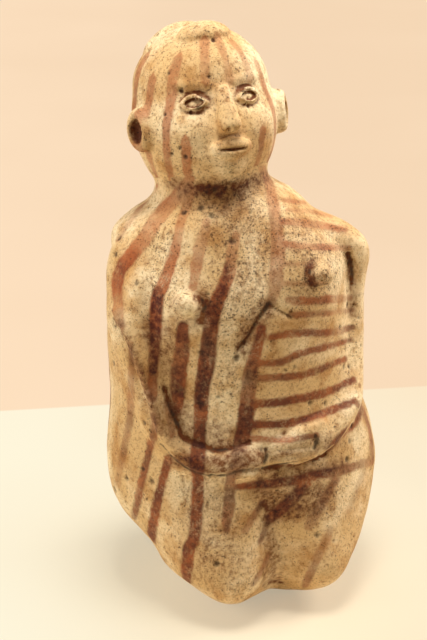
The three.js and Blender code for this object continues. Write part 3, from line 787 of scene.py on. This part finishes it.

# Soft grime and painted shade: strength, width of the soft border in pixels, points. The painted shade
# darkens places that lie in shade: under the head, beside the right nipple, in creases, beside the arm's
# edge, and over the lower lap, thigh, band and hands
body_grime_and_shade = {
    "under_head_shadow": (0.5, 8, (172, 183, 2), (190, 189, 4), (215, 191, 5), (240, 187, 4), (262, 176, 2)),
    "under_head_blot_1": (0.75, 5, (200, 187, 3), (214, 190, 6), (224, 189, 4)),
    "under_head_blot_2": (0.7, 4, (234, 186, 4), (244, 183, 3)),
    "under_head_blot_3": (0.5, 4, (178, 184, 2), (186, 188, 4)),
    "under_head_run_1": (0.5, 4, (222, 192, 4), (226, 203, 3), (225, 211, 1)),
    "under_head_run_2": (0.45, 4, (240, 190, 3), (242, 203, 2)),
    "under_head_run_3": (0.45, 4, (204, 192, 3), (202, 204, 2)),
    "under_head_runs": (0.3, 12, (186, 196, 6), (200, 204, 6), (222, 206, 6), (242, 202, 5)),
    "right_nipple_shadow": (0.7, 8, (200, 297, 1), (205, 303, 3), (205, 311, 3), (202, 319, 2)),
    "left_nipple_side": (0.8, 5, (312, 262, 1), (309, 272, 2), (313, 285, 2)),
    "right_nipple_ring_shade": (0.35, 7, (176, 300, 2), (176, 312, 3), (184, 323, 3), (194, 322, 3)),
    "belly_apex": (0.6, 5, (271, 303, 3), (264, 310, 4)),
    "arm_crease_shade_wash": (0.5, 5, (164, 385, 0), (168, 400, 2), (177, 420, 3), (186, 438, 2), (204, 445, 1),
        (228, 446, 1)),
    "arm_edge_shade_side": (0.5, 5, (121, 322, 1), (131, 345, 2), (141, 371, 3), (150, 400, 3), (161, 430, 3)),
    "left_slit_shade": (0.4, 5, (351, 262, 2), (353, 290, 2), (352, 316, 1)),
    "knee_crevice": (0.42, 9, (266, 506, 1), (270, 520, 2), (274, 550, 2), (276, 600, 3)),
    "right_hand_shade_wash": (0.55, 8, (228, 450, 8), (245, 457, 10), (258, 458, 8)),
    "breast_left_dark": (0.62, 4, (158, 292, 4), (157, 306, 7), (156, 322, 8), (155, 345, 7), (153, 370, 4)),
    "chest_middle_dark": (0.5, 4, (229, 266, 4), (222, 291, 6), (214, 310, 9), (209, 343, 10),
        (206, 370, 10), (201, 405, 6)),
    "below_breast_dark": (0.4, 4, (183, 336, 6), (182, 354, 8), (179, 372, 7)),
    "dividing_dark": (0.42, 4, (253, 362, 5), (249, 387, 7), (247, 408, 9), (244, 430, 9), (240, 446, 6)),
    "thigh_shade_wash": (0.3, 26, (205, 500, 20), (215, 560, 24)),
    "lap_blot_1": (0.5, 5, (256, 491, 2), (264, 497, 4), (270, 507, 4), (268, 521, 4)),
    "lap_blot_2": (0.5, 6, (272, 524, 3), (286, 510, 4), (298, 504, 3)),
    "lap_blot_3": (0.4, 6, (306, 516, 3), (318, 508, 4), (330, 500, 2)),
    "knee_spot_1": (0.5, 4, (265, 492, 3), (266, 500, 4)),
    "knee_spot_2": (0.6, 4, (270, 512, 3), (270, 520, 4)),
    "armpit_shade": (0.5, 9, (150, 322, 4), (152, 340, 5), (160, 356, 4)),
    "elbow_shade": (0.3, 8, (160, 385, 3), (164, 418, 6), (170, 440, 6)),
    "band_shade_wash": (0.55, 9, (180, 460, 6), (205, 466, 8), (245, 463, 8)),
    "hand_shade_wash": (0.36, 8, (275, 456, 6), (305, 449, 8), (335, 440, 6)),
    "lap_shade": (0.45, 10, (262, 478, 4), (300, 474, 4), (340, 466, 4)),
    "belly_shade": (0.42, 12, (166, 330, 6), (172, 380, 10), (186, 425, 10), (232, 436, 8)),
    "crease_shade": (0.5, 10, (266, 306, 4), (254, 328, 6), (244, 346, 4)),
    "lap_shade_wash": (0.5, 14, (262, 492, 8), (282, 506, 14), (300, 502, 14), (318, 496, 10)),
    "knee_shade": (0.35, 9, (268, 520, 6), (274, 560, 10), (272, 600, 10)),
}

# Where dark specks crowd: strength, soft border, points
speck_crowds = {
    "chest": (0.85, 30, (235, 205, 30), (245, 250, 30), (235, 290, 20)),
    "breast": (0.6, 16, (160, 240, 10), (165, 290, 10)),
    "right_side": (0.85, 22, (300, 235, 10), (318, 262, 20), (310, 290, 10)),
    "belly": (0.4, 26, (232, 330, 10), (228, 390, 10)),
    "thigh": (0.36, 30, (215, 520, 20), (225, 575, 20)),
    "lap": (0.5, 20, (270, 500, 10), (320, 500, 20)),
}
base_crowd = {"body": 0.06, "head": 0.26}

# Carved creases: depth in millimetres, soft border, points
body_cuts = {
    "belly_crease_left": (1.0, 2.1, (291, 317, 1), (280, 311, 1), (268, 304, 3)),
    "belly_crease_right": (1.2, 2.1, (268, 307, 3), (256, 323, 2), (249, 336, 1), (238, 350, 1)),
    "arm_crease": (1.3, 2.3, (165, 389, 0), (168, 400, 1), (176, 419, 2), (183, 437, 3), (204, 446, 3),
        (222, 450, 3), (250, 442, 1)),
    "arm_edge": (0.9, 3, (112, 318, 1), (120, 333, 1), (129, 353, 1), (138, 378, 1), (146, 405, 1),
        (157, 436, 1), (170, 457, 1)),
    "band_edge": (1.1, 2.5, (160, 444, 1), (174, 461, 2), (193, 474, 3), (221, 478, 3), (240, 472, 2),
        (265, 469, 2), (305, 462, 2), (325, 455, 1)),
    "left_slit": (1.6, 2.4, (349, 254, 1), (352, 264, 2), (353, 276, 2), (353, 284, 0)),
    "left_slit_fold": (0.5, 4, (353, 284, 1), (352, 316, 1)),
    "hand_end": (0.7, 2.1, (266, 449, 1), (266, 457, 2), (264, 465, 1)),
    "finger_line_1": (0.6, 2.1, (272, 452, 2), (290, 450, 1), (312, 447, 1)),
    "finger_line_2": (0.5, 2.1, (272, 459, 1), (292, 458, 1), (314, 454, 1)),
    "tick_1": (0.5, 2.1, (180, 470, 1), (183, 479, 1), (186, 486, 1)),
    "tick_2": (0.5, 2.1, (188, 472, 1), (190, 480, 1), (191, 486, 1)),
    "notch": (0.7, 2.1, (314, 438, 1), (316, 444, 2), (318, 449, 1)),
    "knee_crevice": (2.2, 5, (265, 506, 1), (270, 520, 2), (274, 545, 3), (277, 575, 3), (274, 602, 3)),
    "knee_groove": (2.6, 13, (270, 520, 1), (275, 540, 2), (279, 565, 3), (276, 590, 4), (270, 612, 3)),
    "knee_crack": (0.4, 2.1, (182, 549, 1), (208, 553, 1), (240, 556, 1)),
}

# Raised ridges: height in millimetres, soft border, points
body_ridges = {
    "arm_edge": (2.1, 4.6, (117, 311, 1), (125, 327, 1), (134, 347, 1), (143, 372, 1), (151, 399, 1),
        (162, 431, 1), (175, 450, 1), (190, 460, 1)),
    "right_nipple": (0.7, 5, (184, 303, 5), (188, 306, 6)),
    "left_nipple": (0.6, 4.5, (321, 275, 5), (324, 276, 5)),
    "shoulder_fold": (0.5, 5, (356, 258, 1), (359, 275, 1), (356, 300, 1)),
}

# Painted lines of the builder's own on the head, and where the photograph doesn't show the body:
# turn round the axis in degrees from the front, lowest and highest level, width, strength
body_axis = (-3, 1)
back_lines = (
    (64, 22, 118, 4, 0.8), (82, 14, 136, 4.6, 0.9), (99, 16, 140, 4, 0.8), (117, 12, 146, 5, 0.95),
    (134, 20, 150, 4.2, 0.85), (152, 14, 155, 5, 0.9), (169, 24, 158, 4, 0.8), (187, 14, 158, 5, 0.95),
    (205, 20, 156, 4.4, 0.85), (222, 14, 152, 5, 0.9), (240, 20, 146, 4.2, 0.9), (257, 14, 138, 4.6, 0.85),
)
head_axis = (-16, 8)
head_lines = (
    (-70, 178, 222, 3.6, 0.7), (-47, 182, 230, 3.4, 0.8), (-31, 178, 202, 3.4, 0.8), (29, 176, 203, 3.2, 0.7),
    (-16, 222, 236, 3.4, 0.65), (8, 222, 237, 3.2, 0.55), (34, 221, 234, 3.2, 0.6), (52, 180, 226, 3.6, 0.75),
    (96, 182, 228, 4.4, 0.8), (120, 186, 226, 4.2, 0.8), (240, 186, 226, 4.2, 0.8), (264, 182, 228, 4.4, 0.8),
    (146, 184, 204, 4, 0.8), (180, 182, 200, 4, 0.8), (214, 184, 204, 4, 0.8),
)

# Unevenness: size of the lumps and their depth in millimetres, stretch upwards, seed
swell = (22, 0.5, 1, 1)
dents = (8, 0.2, 1, 2)
scrape = (3.4, 0.09, 0.35, 3)
line_wander = (24, 2.2, 0.5, 5)
line_swelling = (12, 0.35, 1, 6)
line_wear = (15, 1, 1, 7)
worn_levels = (0, 0.8)
worn_share = 0.45

# Pits: how many, least and largest radius in millimetres, depth as a share of the radius
pits = {"body": (230, 0.8, 1.9, 0.42), "head": (46, 0.7, 1.5, 0.5)}
pit_power = 1.5
# Depths in millimetres over which a pit is painted dark: grime and painted shade in the pit
pit_depths = (0.1, 0.5)

# Grime and painted shade in hollow bends, and wear on raised ones, by how deep a place lies below the
# smoothed form; grime and painted shade in the head's openings, by how deep they are sunk
bend_rounds = 24
bend_pull = 0.6
bend_grime_and_shade = 0.8
bend_shade = {"body": (0.15, 0.95), "head": (0.08, 0.6)}
wear_bends = (0.1, 0.6)
hole_grime_and_shade = 0.75
hole_depths = (0.3, 2)

# How squarely a surface has to face the camera to carry drawn marks, and the gaps of the lines in
# millimetres: where they are hidden, and at the least
front_levels = (0.02, 0.2)
line_rounds = 1
hidden_gap = 6
least_gap = {"stripe_gap": -4, "dark_gap": -3}

# Soft pushes of the whole form: middle and radius in the photograph's pixels, then millimetres
# to the camera's right and up
pushes = {
    "left_shoulder_top": ((336, 208), 32, 0, -4.6),
    "left_shoulder_corner": ((363, 250), 22, 2.4, 0),
    "left_neck_slope": ((292, 184), 18, 0.2, -0.6),
    "right_shoulder": ((100, 287), 28, 2.6, 0),
    "right_shoulder_slope": ((120, 231), 20, -2.2, 0.4),
    "right_knee_side": ((136, 538), 36, 4.6, 0),
    "right_flank": ((110, 440), 32, -1.5, 0),
    "left_hip": ((368, 406), 18, 1.2, 0),
}


def pushed(places):
    """Places after the soft pushes."""
    seen = photo_places(places)
    moved = places.copy()
    for middle, radius, right, up in pushes.values():
        gap = np.linalg.norm(seen - np.array(middle), axis=1) / radius
        moved += np.exp(-gap ** 2)[:, None] * (right * camera_right + up * camera_up) * MM
    moved[:, 2] = np.maximum(moved[:, 2], 0)
    return moved


def uneven(places, rule):
    size, depth, stretch, seed = rule
    return depth * lumps(places * np.array((1, 1, stretch)), size, seed)


half_turn = 180


def turned_gaps(places, axis, lines):
    """For each of the lines that run up a form, its gap in millimetres and its strength."""
    spots = places / MM
    offset = spots[:, :2] - np.array(axis)
    reach = np.linalg.norm(offset, axis=1)
    turns = np.degrees(np.arctan2(offset[:, 0], -offset[:, 1]))
    wander = uneven(places, line_wander)
    swelling = 1 + uneven(places, line_swelling)
    for turn, low, high, width, strength in lines:
        apart = (turns - turn + half_turn) % (2 * half_turn) - half_turn
        across = np.abs(np.radians(apart) * reach + wander) - width / 2 * swelling
        yield across + np.maximum(np.maximum(low - spots[:, 2], spots[:, 2] - high), 0), strength


def drawn_gaps(seen, lines):
    """For each of the drawn lines, its gap in millimetres and its strength."""
    for strength, *points in lines.values():
        yield line_gap(seen, points) / pixels_per_mm, strength


def nearest_line(gaps):
    """Gap and strength of the nearest line."""
    best, share = far_away, 0
    for gap, strength in gaps:
        share = np.where(gap < best, strength, share)
        best = np.minimum(best, gap)
    return best, share


def drawn_marks(seen, front, marks):
    """For each of the drawn marks, its strength at each vertex, fading over its soft border."""
    for strength, border, *points in marks.values():
        away = np.maximum(line_gap(seen, points), 0) / border
        yield strength * np.exp(-away ** 2) * front


def dome(gap):
    """1 at a gap of 0, 0 at a gap of 1 and beyond."""
    return np.clip(1 - gap ** 2, 0, 1)


def sunk_pits(places, outer, rule):
    """How deep each vertex lies in a random scatter of pits, in millimetres."""
    count, low, high, share = rule
    depth = np.zeros(len(places))
    spots = places / MM
    for centre in rng.choice(np.flatnonzero(outer), count, replace=False):
        radius = rng.uniform(low, high)
        gap = np.linalg.norm(spots - spots[centre], axis=1) / radius
        depth = np.maximum(depth, share * radius * dome(gap) ** pit_power)
    return depth


# Modelled details of the head: shares of the half size of their node, and millimetres
eye_slit = {"near": 1.5, "half": 0.9, "half_height": 0.62, "depth": 1.6,
            "ball_half": 0.62, "ball_height": 0.4, "ball": 1.2}
eye_socket = {"reach": 8.5, "depth": 1.5, "above": 1.5}
brow = {"above": 6, "half": 8, "half_height": 2.6, "rise": 0.9}
cheek = {"below": 10, "outward": 3, "reach": 9, "rise": 1.3}
chin = {"below": 9, "reach": 8, "rise": 1.6}
nostril = {"across": 0.42, "low": 0.78, "radius": 1.5, "depth": 2}
mouth_line = {"near": 2, "half": 0.74, "half_height": 0.9, "depth": 1.6}
ear_bowl = {"turn": math.radians(48), "half": 0.62, "half_height": 0.6, "depth": 2.4,
            "back": -0.3, "facing": 0.1, "near": 1.6}
# How much a step forward counts beside a step across, in the cheeks and chin and in the nostrils
face_flatness = 0.4
nostril_flatness = 0.45


def middle_and_half(name):
    low, high = (np.array(corner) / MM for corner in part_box(name))
    return (low + high) / 2, (high - low) / 2


def bowl(across, up, half, half_height):
    """1 at the middle of an oval, 0 at its edge and beyond."""
    return np.sqrt(np.clip(1 - (across / half) ** 2 - (up / half_height) ** 2, 0, 1))


def almond(across, up, half, half_height):
    """1 at the middle of a shape with two pointed corners, 0 at its edge and beyond."""
    return np.sqrt(np.clip(1 - (across / half) ** 2 - np.abs(up) / half_height, 0, 1))


def own_frame(name):
    """A node's middle, and its long, middle and thin directions with its half sizes along them."""
    spots = places_of(node_mesh(name)) / MM
    middle = (spots.max(axis=0) + spots.min(axis=0)) / 2
    _, _, ways = np.linalg.svd(spots - spots.mean(axis=0), full_matrices=False)
    along = (spots - middle) @ ways.T
    return middle, ways, (along.max(axis=0) - along.min(axis=0)) / 2


def flat_gap(spots, middle, reach, flatness=1):
    """Distance from a middle as a share of a reach, where a step forward may count less."""
    return np.linalg.norm((spots - middle) * np.array((1, flatness, 1)), axis=1) / reach


def head_details(places, normals):
    """How deep the openings are sunk at each vertex, and how deep the broad forms of the face are."""
    spots = places / MM
    sunk, formed = np.zeros((2, len(places)))
    forward = normals[:, 1] < 0
    nose, nose_half = middle_and_half("nose")
    for name in ("right_eye", "left_eye"):
        middle, ways, half = own_frame(name)
        across, up, _ = ((spots - middle) @ ways.T).T
        near = forward & (flat_gap(spots, middle, half[0]) < eye_slit["near"])
        slit = almond(across, up, eye_slit["half"] * half[0], eye_slit["half_height"] * half[1])
        ball = almond(across, up, eye_slit["ball_half"] * half[0], eye_slit["ball_height"] * half[1])
        sunk += near * (eye_slit["depth"] * slit - eye_slit["ball"] * ball)
        socket = middle + np.array((0, 0, eye_socket["above"]))
        formed += forward * eye_socket["depth"] * dome(flat_gap(spots, socket, eye_socket["reach"])) ** 2
        raised = bowl(spots[:, 0] - middle[0], spots[:, 2] - middle[2] - brow["above"],
                      brow["half"], brow["half_height"])
        formed -= forward * brow["rise"] * raised ** 2
        side = np.sign(middle[0] - nose[0])
        spot = middle + np.array((side * cheek["outward"], 0, -cheek["below"]))
        formed -= forward * cheek["rise"] * dome(flat_gap(spots, spot, cheek["reach"], face_flatness)) ** 2
    for side in (-1, 1):
        hole = nose + np.array((side * nostril["across"], -1, -nostril["low"])) * nose_half
        sunk += nostril["depth"] * dome(flat_gap(spots, hole, nostril["radius"], nostril_flatness))
    upper, half = middle_and_half("upper_lip")
    lower, _ = middle_and_half("lower_lip")
    between = (upper + lower) / 2
    near = forward & (np.abs(spots[:, 1] - between[1]) < mouth_line["near"] * half[0])
    sunk += near * mouth_line["depth"] * bowl(spots[:, 0] - between[0], spots[:, 2] - between[2],
                                              mouth_line["half"] * half[0], mouth_line["half_height"])
    spot = between - np.array((0, 0, chin["below"]))
    formed -= forward * chin["rise"] * dome(flat_gap(spots, spot, chin["reach"], face_flatness)) ** 2
    turn = ear_bowl["turn"]
    for name, side in (("right_ear", -1), ("left_ear", 1)):
        middle, half = middle_and_half(name)
        outward = np.array((side * math.sin(turn), -math.cos(turn), 0))
        across = (spots - middle) @ np.array((side * math.cos(turn), math.sin(turn), 0))
        near = flat_gap(spots, middle, half.max()) < ear_bowl["near"]
        near &= (spots - middle) @ outward > ear_bowl["back"] * half[0]
        near &= normals @ outward > ear_bowl["facing"]
        sunk += near * ear_bowl["depth"] * bowl(across, spots[:, 2] - middle[2],
                                                ear_bowl["half"] * half[1], ear_bowl["half_height"] * half[2])
    return sunk, formed


def worked(kind, mesh, places, outer):
    """The skin after handling, with what its finish needs to know of each vertex."""
    normals = normals_of(mesh)
    sight = camera_place - places
    facing_share = np.sum(normals * sight, axis=1) / np.linalg.norm(sight, axis=1)
    front = fade(facing_share, *front_levels)
    seen = photo_places(pushed(places))
    crowd = np.full(len(places), base_crowd[kind])
    dark_gap = np.full(len(places), float(hidden_gap))
    sunk, formed, grime_and_shade = np.zeros((3, len(places)))
    if kind == "body":
        gap, strength = nearest_line(drawn_gaps(seen, body_paint))
        back_gap, back_strength = nearest_line(turned_gaps(places, body_axis, back_lines))
        gap = gap + hidden_gap * (1 - front)
        back_gap = back_gap + hidden_gap * front
        strength = np.where(gap < back_gap, strength, back_strength)
        gap = np.minimum(gap, back_gap)
        for mark in drawn_marks(seen, front, speck_crowds):
            crowd = np.maximum(crowd, mark)
        for mark in drawn_marks(seen, front, body_cuts):
            sunk = np.maximum(sunk, mark)
        for mark in drawn_marks(seen, front, body_ridges):
            formed -= mark
        # Soft grime and painted shade
        for mark in drawn_marks(seen, front, body_grime_and_shade):
            grime_and_shade = np.maximum(grime_and_shade, mark)
        for line, share in drawn_gaps(seen, grime_and_shade_lines):
            dark_gap = np.minimum(dark_gap, line + (1 - share) + hidden_gap * (1 - front))
    else:
        gap, strength = nearest_line(turned_gaps(places, head_axis, head_lines))
        sunk, formed = head_details(places, normals)
        # Grime and painted shade in the eyes, nostrils, mouth and ears, by how deep they are sunk
        grime_and_shade = hole_grime_and_shade * fade(sunk, *hole_depths)
    strength = strength * (1 - worn_share * fade(uneven(places, line_wear), *worn_levels))
    pitted = sunk_pits(places, outer, pits[kind])
    sunk += pitted
    raised = (uneven(places, swell) * (kind == "body") + uneven(places, dents) + uneven(places, scrape))
    places = places + normals * ((raised - sunk - formed) * outer * MM)[:, None]
    places[:, 2] = np.maximum(places[:, 2], 0)
    put_places(mesh, places)
    soft = softened(mesh, places, bend_rounds, bend_pull)
    bend = np.sum((soft - places) * normals_of(mesh), axis=1) / MM
    return places, {
        "stripe_gap": np.clip(averaged(mesh, gap, line_rounds), least_gap["stripe_gap"], hidden_gap),
        "stripe_strength": averaged(mesh, strength, line_rounds),
        # Grime and painted shade: the drawn marks, the hollow bends and the head's openings
        "grime_and_shade": np.clip(np.maximum(grime_and_shade, bend_grime_and_shade * fade(bend, *bend_shade[kind])), 0, 1),
        "wear": fade(-bend, *wear_bends),
        "pit": fade(pitted, *pit_depths),
        "crowd": crowd,
        "dark_gap": np.clip(dark_gap, least_gap["dark_gap"], hidden_gap),
    }


# Colours of the clay, in the 0 to 255 steps of a picture
cream_light = (244, 222, 186)
cream_warm = (217, 181, 130)
clay_bare = (170, 126, 82)
stain_brown = (144, 97, 54)
# Paint as lit and as in shade, mixed at random and, as painted shade, darker towards the bottom
paint_light = (170, 94, 50)
paint_dark = (96, 36, 14)
# Grime and painted shade in the dark lines and pits
grime_and_shade_brown = (46, 28, 14)
grime_and_shade_wash = (130, 84, 42)
speck_brown = (74, 45, 24)
mottle_tones = ((192, 158, 116), (255, 252, 244))
cloud_tones = ((224, 202, 170), (255, 255, 250))

# Grains of the finish: size of the lumps in millimetres, detail, roughness
grains = {
    "broad": (30, 2), "middle": (7, 5), "small": (2.2, 5, 0.65), "brushed": (1.3, 4, 0.7),
    "fine": (0.95, 3), "finest": (0.5, 2), "edge": (4.5, 4), "tone": (11, 4), "cloud": (12, 5),
}

# Levels at which an effect starts and is full, then its share at both where these aren't 0 and 1
warm_patches = (0.35, 0.65)
warm_blots = (0.45, 0.75, 0, 0.6)
bare_patches = (0.62, 0.8, 0, 0.55)
stain_levels = (0.52, 0.74, 0, 0.55)
cover_levels = (-0.4, 1.0, 1, 0)
worn_paint = (0.3, 0.5, 0.5, 1)
paint_tones = (0.6, 1.15)
cloud_levels = (0.3, 0.56)
mottle_levels = (0.3, 0.52)
speck_levels = (0.65, 0.7, 0, 0.8)
dust_levels = (0.645, 0.7, 0, 0.68)
grime_and_shade_levels = (0.05, 0.8)
dark_levels = (-0.3, 0.7, 1, 0)
rough_levels = (0.3, 0.7)

# Levels in millimetres between which the paint turns paler upwards, and what that adds to its tone: painted
# shade, the paint darker towards the bottom
paint_shade_levels = (98, 165)
paint_shade_depths = (0.42, 0.2)

# How far one thing moves another
bare_by_wear = 0.05
bare_by_ragged = 0.5
stain_by_crowd = 0.11
edge_by_lumps = 1.6
edge_by_ragged = 2.6
worn_by_patch = 0.7
tone_by_ragged = 0.6
speck_by_patch = 0.28
speck_by_crowd = 0.085
grime_and_shade_by_ragged = 2.6
dark_by_ragged = 3.2

# Shares of the layers, and relief of the bump
paint_share = 0.96
mottle_share = 0.7
pit_share = 0.8
dark_share = 0.88
relief = {"fine": 0.5, "finest": 0.35, "small": 0.9, "specks": 0.5, "cover": 0.08}
bump_strength = 0.7
bump_distance = 0.5
clay_specular = 0.3
rough_range = 0.14


def clay_finish(name, bareness, shine):
    """Slip-covered clay with painted lines, specks, pits, grime and wear, and painted shade in hollows and
    creases.
    """
    material = bpy.data.materials.new(name)
    graph = Graph(material)
    add, times, less, mix, spread = graph.add, graph.times, graph.less, graph.mix, graph.spread
    where = graph.where()
    broad, middle, small, brushed, fine, finest, edge, depth, cloud = (
        graph.grain(where, *rule) for rule in grains.values())
    grime_and_shade = graph.attribute("grime_and_shade")
    crowd = graph.attribute("crowd")
    ragged = less(small, grain_middle)
    patchy = less(middle, grain_middle)

    slip = mix(spread(broad, *warm_patches), cream_light, cream_warm)
    slip = mix(spread(middle, *warm_blots), slip, cream_warm)
    bare = add(middle, times(graph.attribute("wear"), bare_by_wear), times(ragged, bare_by_ragged))
    low, high, *shares = bare_patches
    slip = mix(spread(bare, low - bareness, high - bareness, *shares), slip, clay_bare)
    stain = add(small, times(crowd, stain_by_crowd))
    slip = mix(spread(stain, *stain_levels), slip, stain_brown)

    edge = add(graph.attribute("stripe_gap"), times(less(edge, grain_middle), edge_by_lumps),
               times(ragged, edge_by_ragged))
    worn = spread(add(brushed, times(patchy, worn_by_patch)), *worn_paint)
    cover = times(times(spread(edge, *cover_levels), worn), graph.attribute("stripe_strength"))
    # Painted shade: the paint darker towards the bottom of the body
    low, high = (level * MM for level in paint_shade_levels)
    height = spread(graph.along(where, (0, 0, 1)), low, high, *paint_shade_depths)
    depth = add(depth, height, times(ragged, tone_by_ragged))
    paint = mix(spread(depth, *paint_tones), paint_light, paint_dark)
    tone = mix(times(cover, paint_share), slip, paint)

    tone = mix(1, tone, mix(spread(cloud, *cloud_levels), *cloud_tones), "MULTIPLY")
    tone = mix(mottle_share, tone, mix(spread(brushed, *mottle_levels), *mottle_tones), "MULTIPLY")
    crowded = times(crowd, speck_by_crowd)
    specks = spread(add(fine, times(patchy, speck_by_patch), crowded), *speck_levels)
    specks = graph.maths("MAXIMUM", specks, spread(add(finest, crowded), *dust_levels))
    tone = mix(specks, tone, speck_brown)

    # Grime and painted shade: brown multiplied in where hollows, creases and the drawn marks lie
    dirt_and_shade = add(grime_and_shade, times(ragged, times(grime_and_shade, grime_and_shade_by_ragged)))
    tone = mix(spread(dirt_and_shade, *grime_and_shade_levels), tone, grime_and_shade_wash, "MULTIPLY")
    # Dark lines and pits: grime and painted shade in creases and hollows
    dark = spread(add(graph.attribute("dark_gap"), times(ragged, dark_by_ragged)), *dark_levels)
    dark = graph.maths("MAXIMUM", dark, times(graph.attribute("pit"), pit_share), clamp=True)
    tone = mix(times(dark, dark_share), tone, grime_and_shade_brown)

    height = add(times(fine, relief["fine"]), times(finest, relief["finest"]), times(small, relief["small"]))
    height = add(less(height, times(specks, relief["specks"])), times(cover, relief["cover"]))
    bump = graph.node("Bump", {"Height": height, "Strength": bump_strength, "Distance": bump_distance * MM})
    surface = graph.node("BsdfPrincipled", {
        "Base Color": tone,
        "Roughness": spread(middle, *rough_levels, shine, shine + rough_range),
        "Normal": bump.outputs["Normal"],
        "Specular IOR Level": clay_specular,
    })
    graph.node("OutputMaterial", {"Surface": surface.outputs[0]})
    return material


# Finishes: how much bare clay shows, least roughness, and the nodes that have it
finish_rules = {
    "wall_slip": (0.02, 0.62, ("body_wall", "neck_collar", "head_hood")),
    "limb_slip": (0.02, 0.6, ("right_arm", "left_arm", "right_hand", "left_hand", "right_foot", "left_foot")),
    "face_slip": (0.02, 0.58, ("right_nipple", "left_nipple", "hair_knot", "nose", "upper_lip", "lower_lip",
                               "right_ear", "right_eye", "left_ear", "left_eye")),
    "rim_clay": (0.12, 0.66, ("mouth_rim",)),
}
finishes = {}
slot_of = {}
for slot, (bareness, shine, names) in finish_rules.items():
    finishes[slot] = clay_finish(slot, bareness, shine)
    slot_of.update(dict.fromkeys(names, slot))


def add_piece(name, mesh, values, order, normals):
    """A finished piece that stands for its CAD node, shaded as one with the skin around it."""
    for key, column in values.items():
        put_value(mesh, key, column[order])
    mesh.polygons.foreach_set("use_smooth", np.ones(len(mesh.polygons), bool))
    mesh.normals_split_custom_set_from_vertices(normals)
    mesh.materials.append(finishes[slot_of[name]])
    piece = placed(bpy.data.objects.new(name + "_clay", mesh))
    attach(piece, "root")
    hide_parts(name)
    return piece


def add_skin(kind, skin):
    mesh = blended(skin)
    inner = hollow_side(skin, places_of(mesh))
    put_places(mesh, relaxed(mesh, places_of(mesh), skin["smoothing"]))
    filled_joints(skin, mesh, places_of(mesh))
    keep_share = 1 - (1 - inner_share) * inner.mean()
    mesh = modified(mesh, "DECIMATE", np.flatnonzero(inner), ratio=keep_share)
    places = places_of(mesh)
    outer = 1 - averaged(mesh, hollow_side(skin, places).astype(float), side_rounds)
    places, values = worked(kind, mesh, places, outer)
    grounds = territories(skin, mesh, places, territory_reach[kind])
    places = pushed(places)
    put_places(mesh, places)
    normals = normals_of(mesh)
    corners, starts = faces_of(mesh)
    nearest = np.min(list(grounds.values()), axis=0)
    for name in skin["luted"]:
        outside = grounds[name]
        sunk = dive_depth[kind] * np.clip(outside / dive_run, 0, 1)
        spots = places - normals * (sunk * MM)[:, None]
        patch, order = closed_patch(name + "_clay", spots, normals, corners, starts,
                                    outside < dive_run, shell_depth[kind])
        half = len(order) // 2
        add_piece(name, patch, values, order, np.vstack((normals[order[:half]], -normals[order[half:]])))
    sunk = dive_depth[kind] * np.clip(-nearest / dive_run, 0, 1)
    put_places(mesh, places - normals * (sunk * MM)[:, None])
    mesh.name = skin["wall"] + "_clay"
    kept = np.arange(len(places))
    if skin["stub"]:
        keep, _, _ = trimmed(grounds[skin["stub"][0]] > -dive_run, corners, starts, least_shell)
        kept = np.flatnonzero(keep)
        mesh = without(mesh, ~keep)
    add_piece(skin["wall"], mesh, values, kept, normals[kept])


add_skin("body", body_skin)
add_skin("head", head_skin)

[[list(corner) for corner in box] for box in (cad_box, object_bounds())]
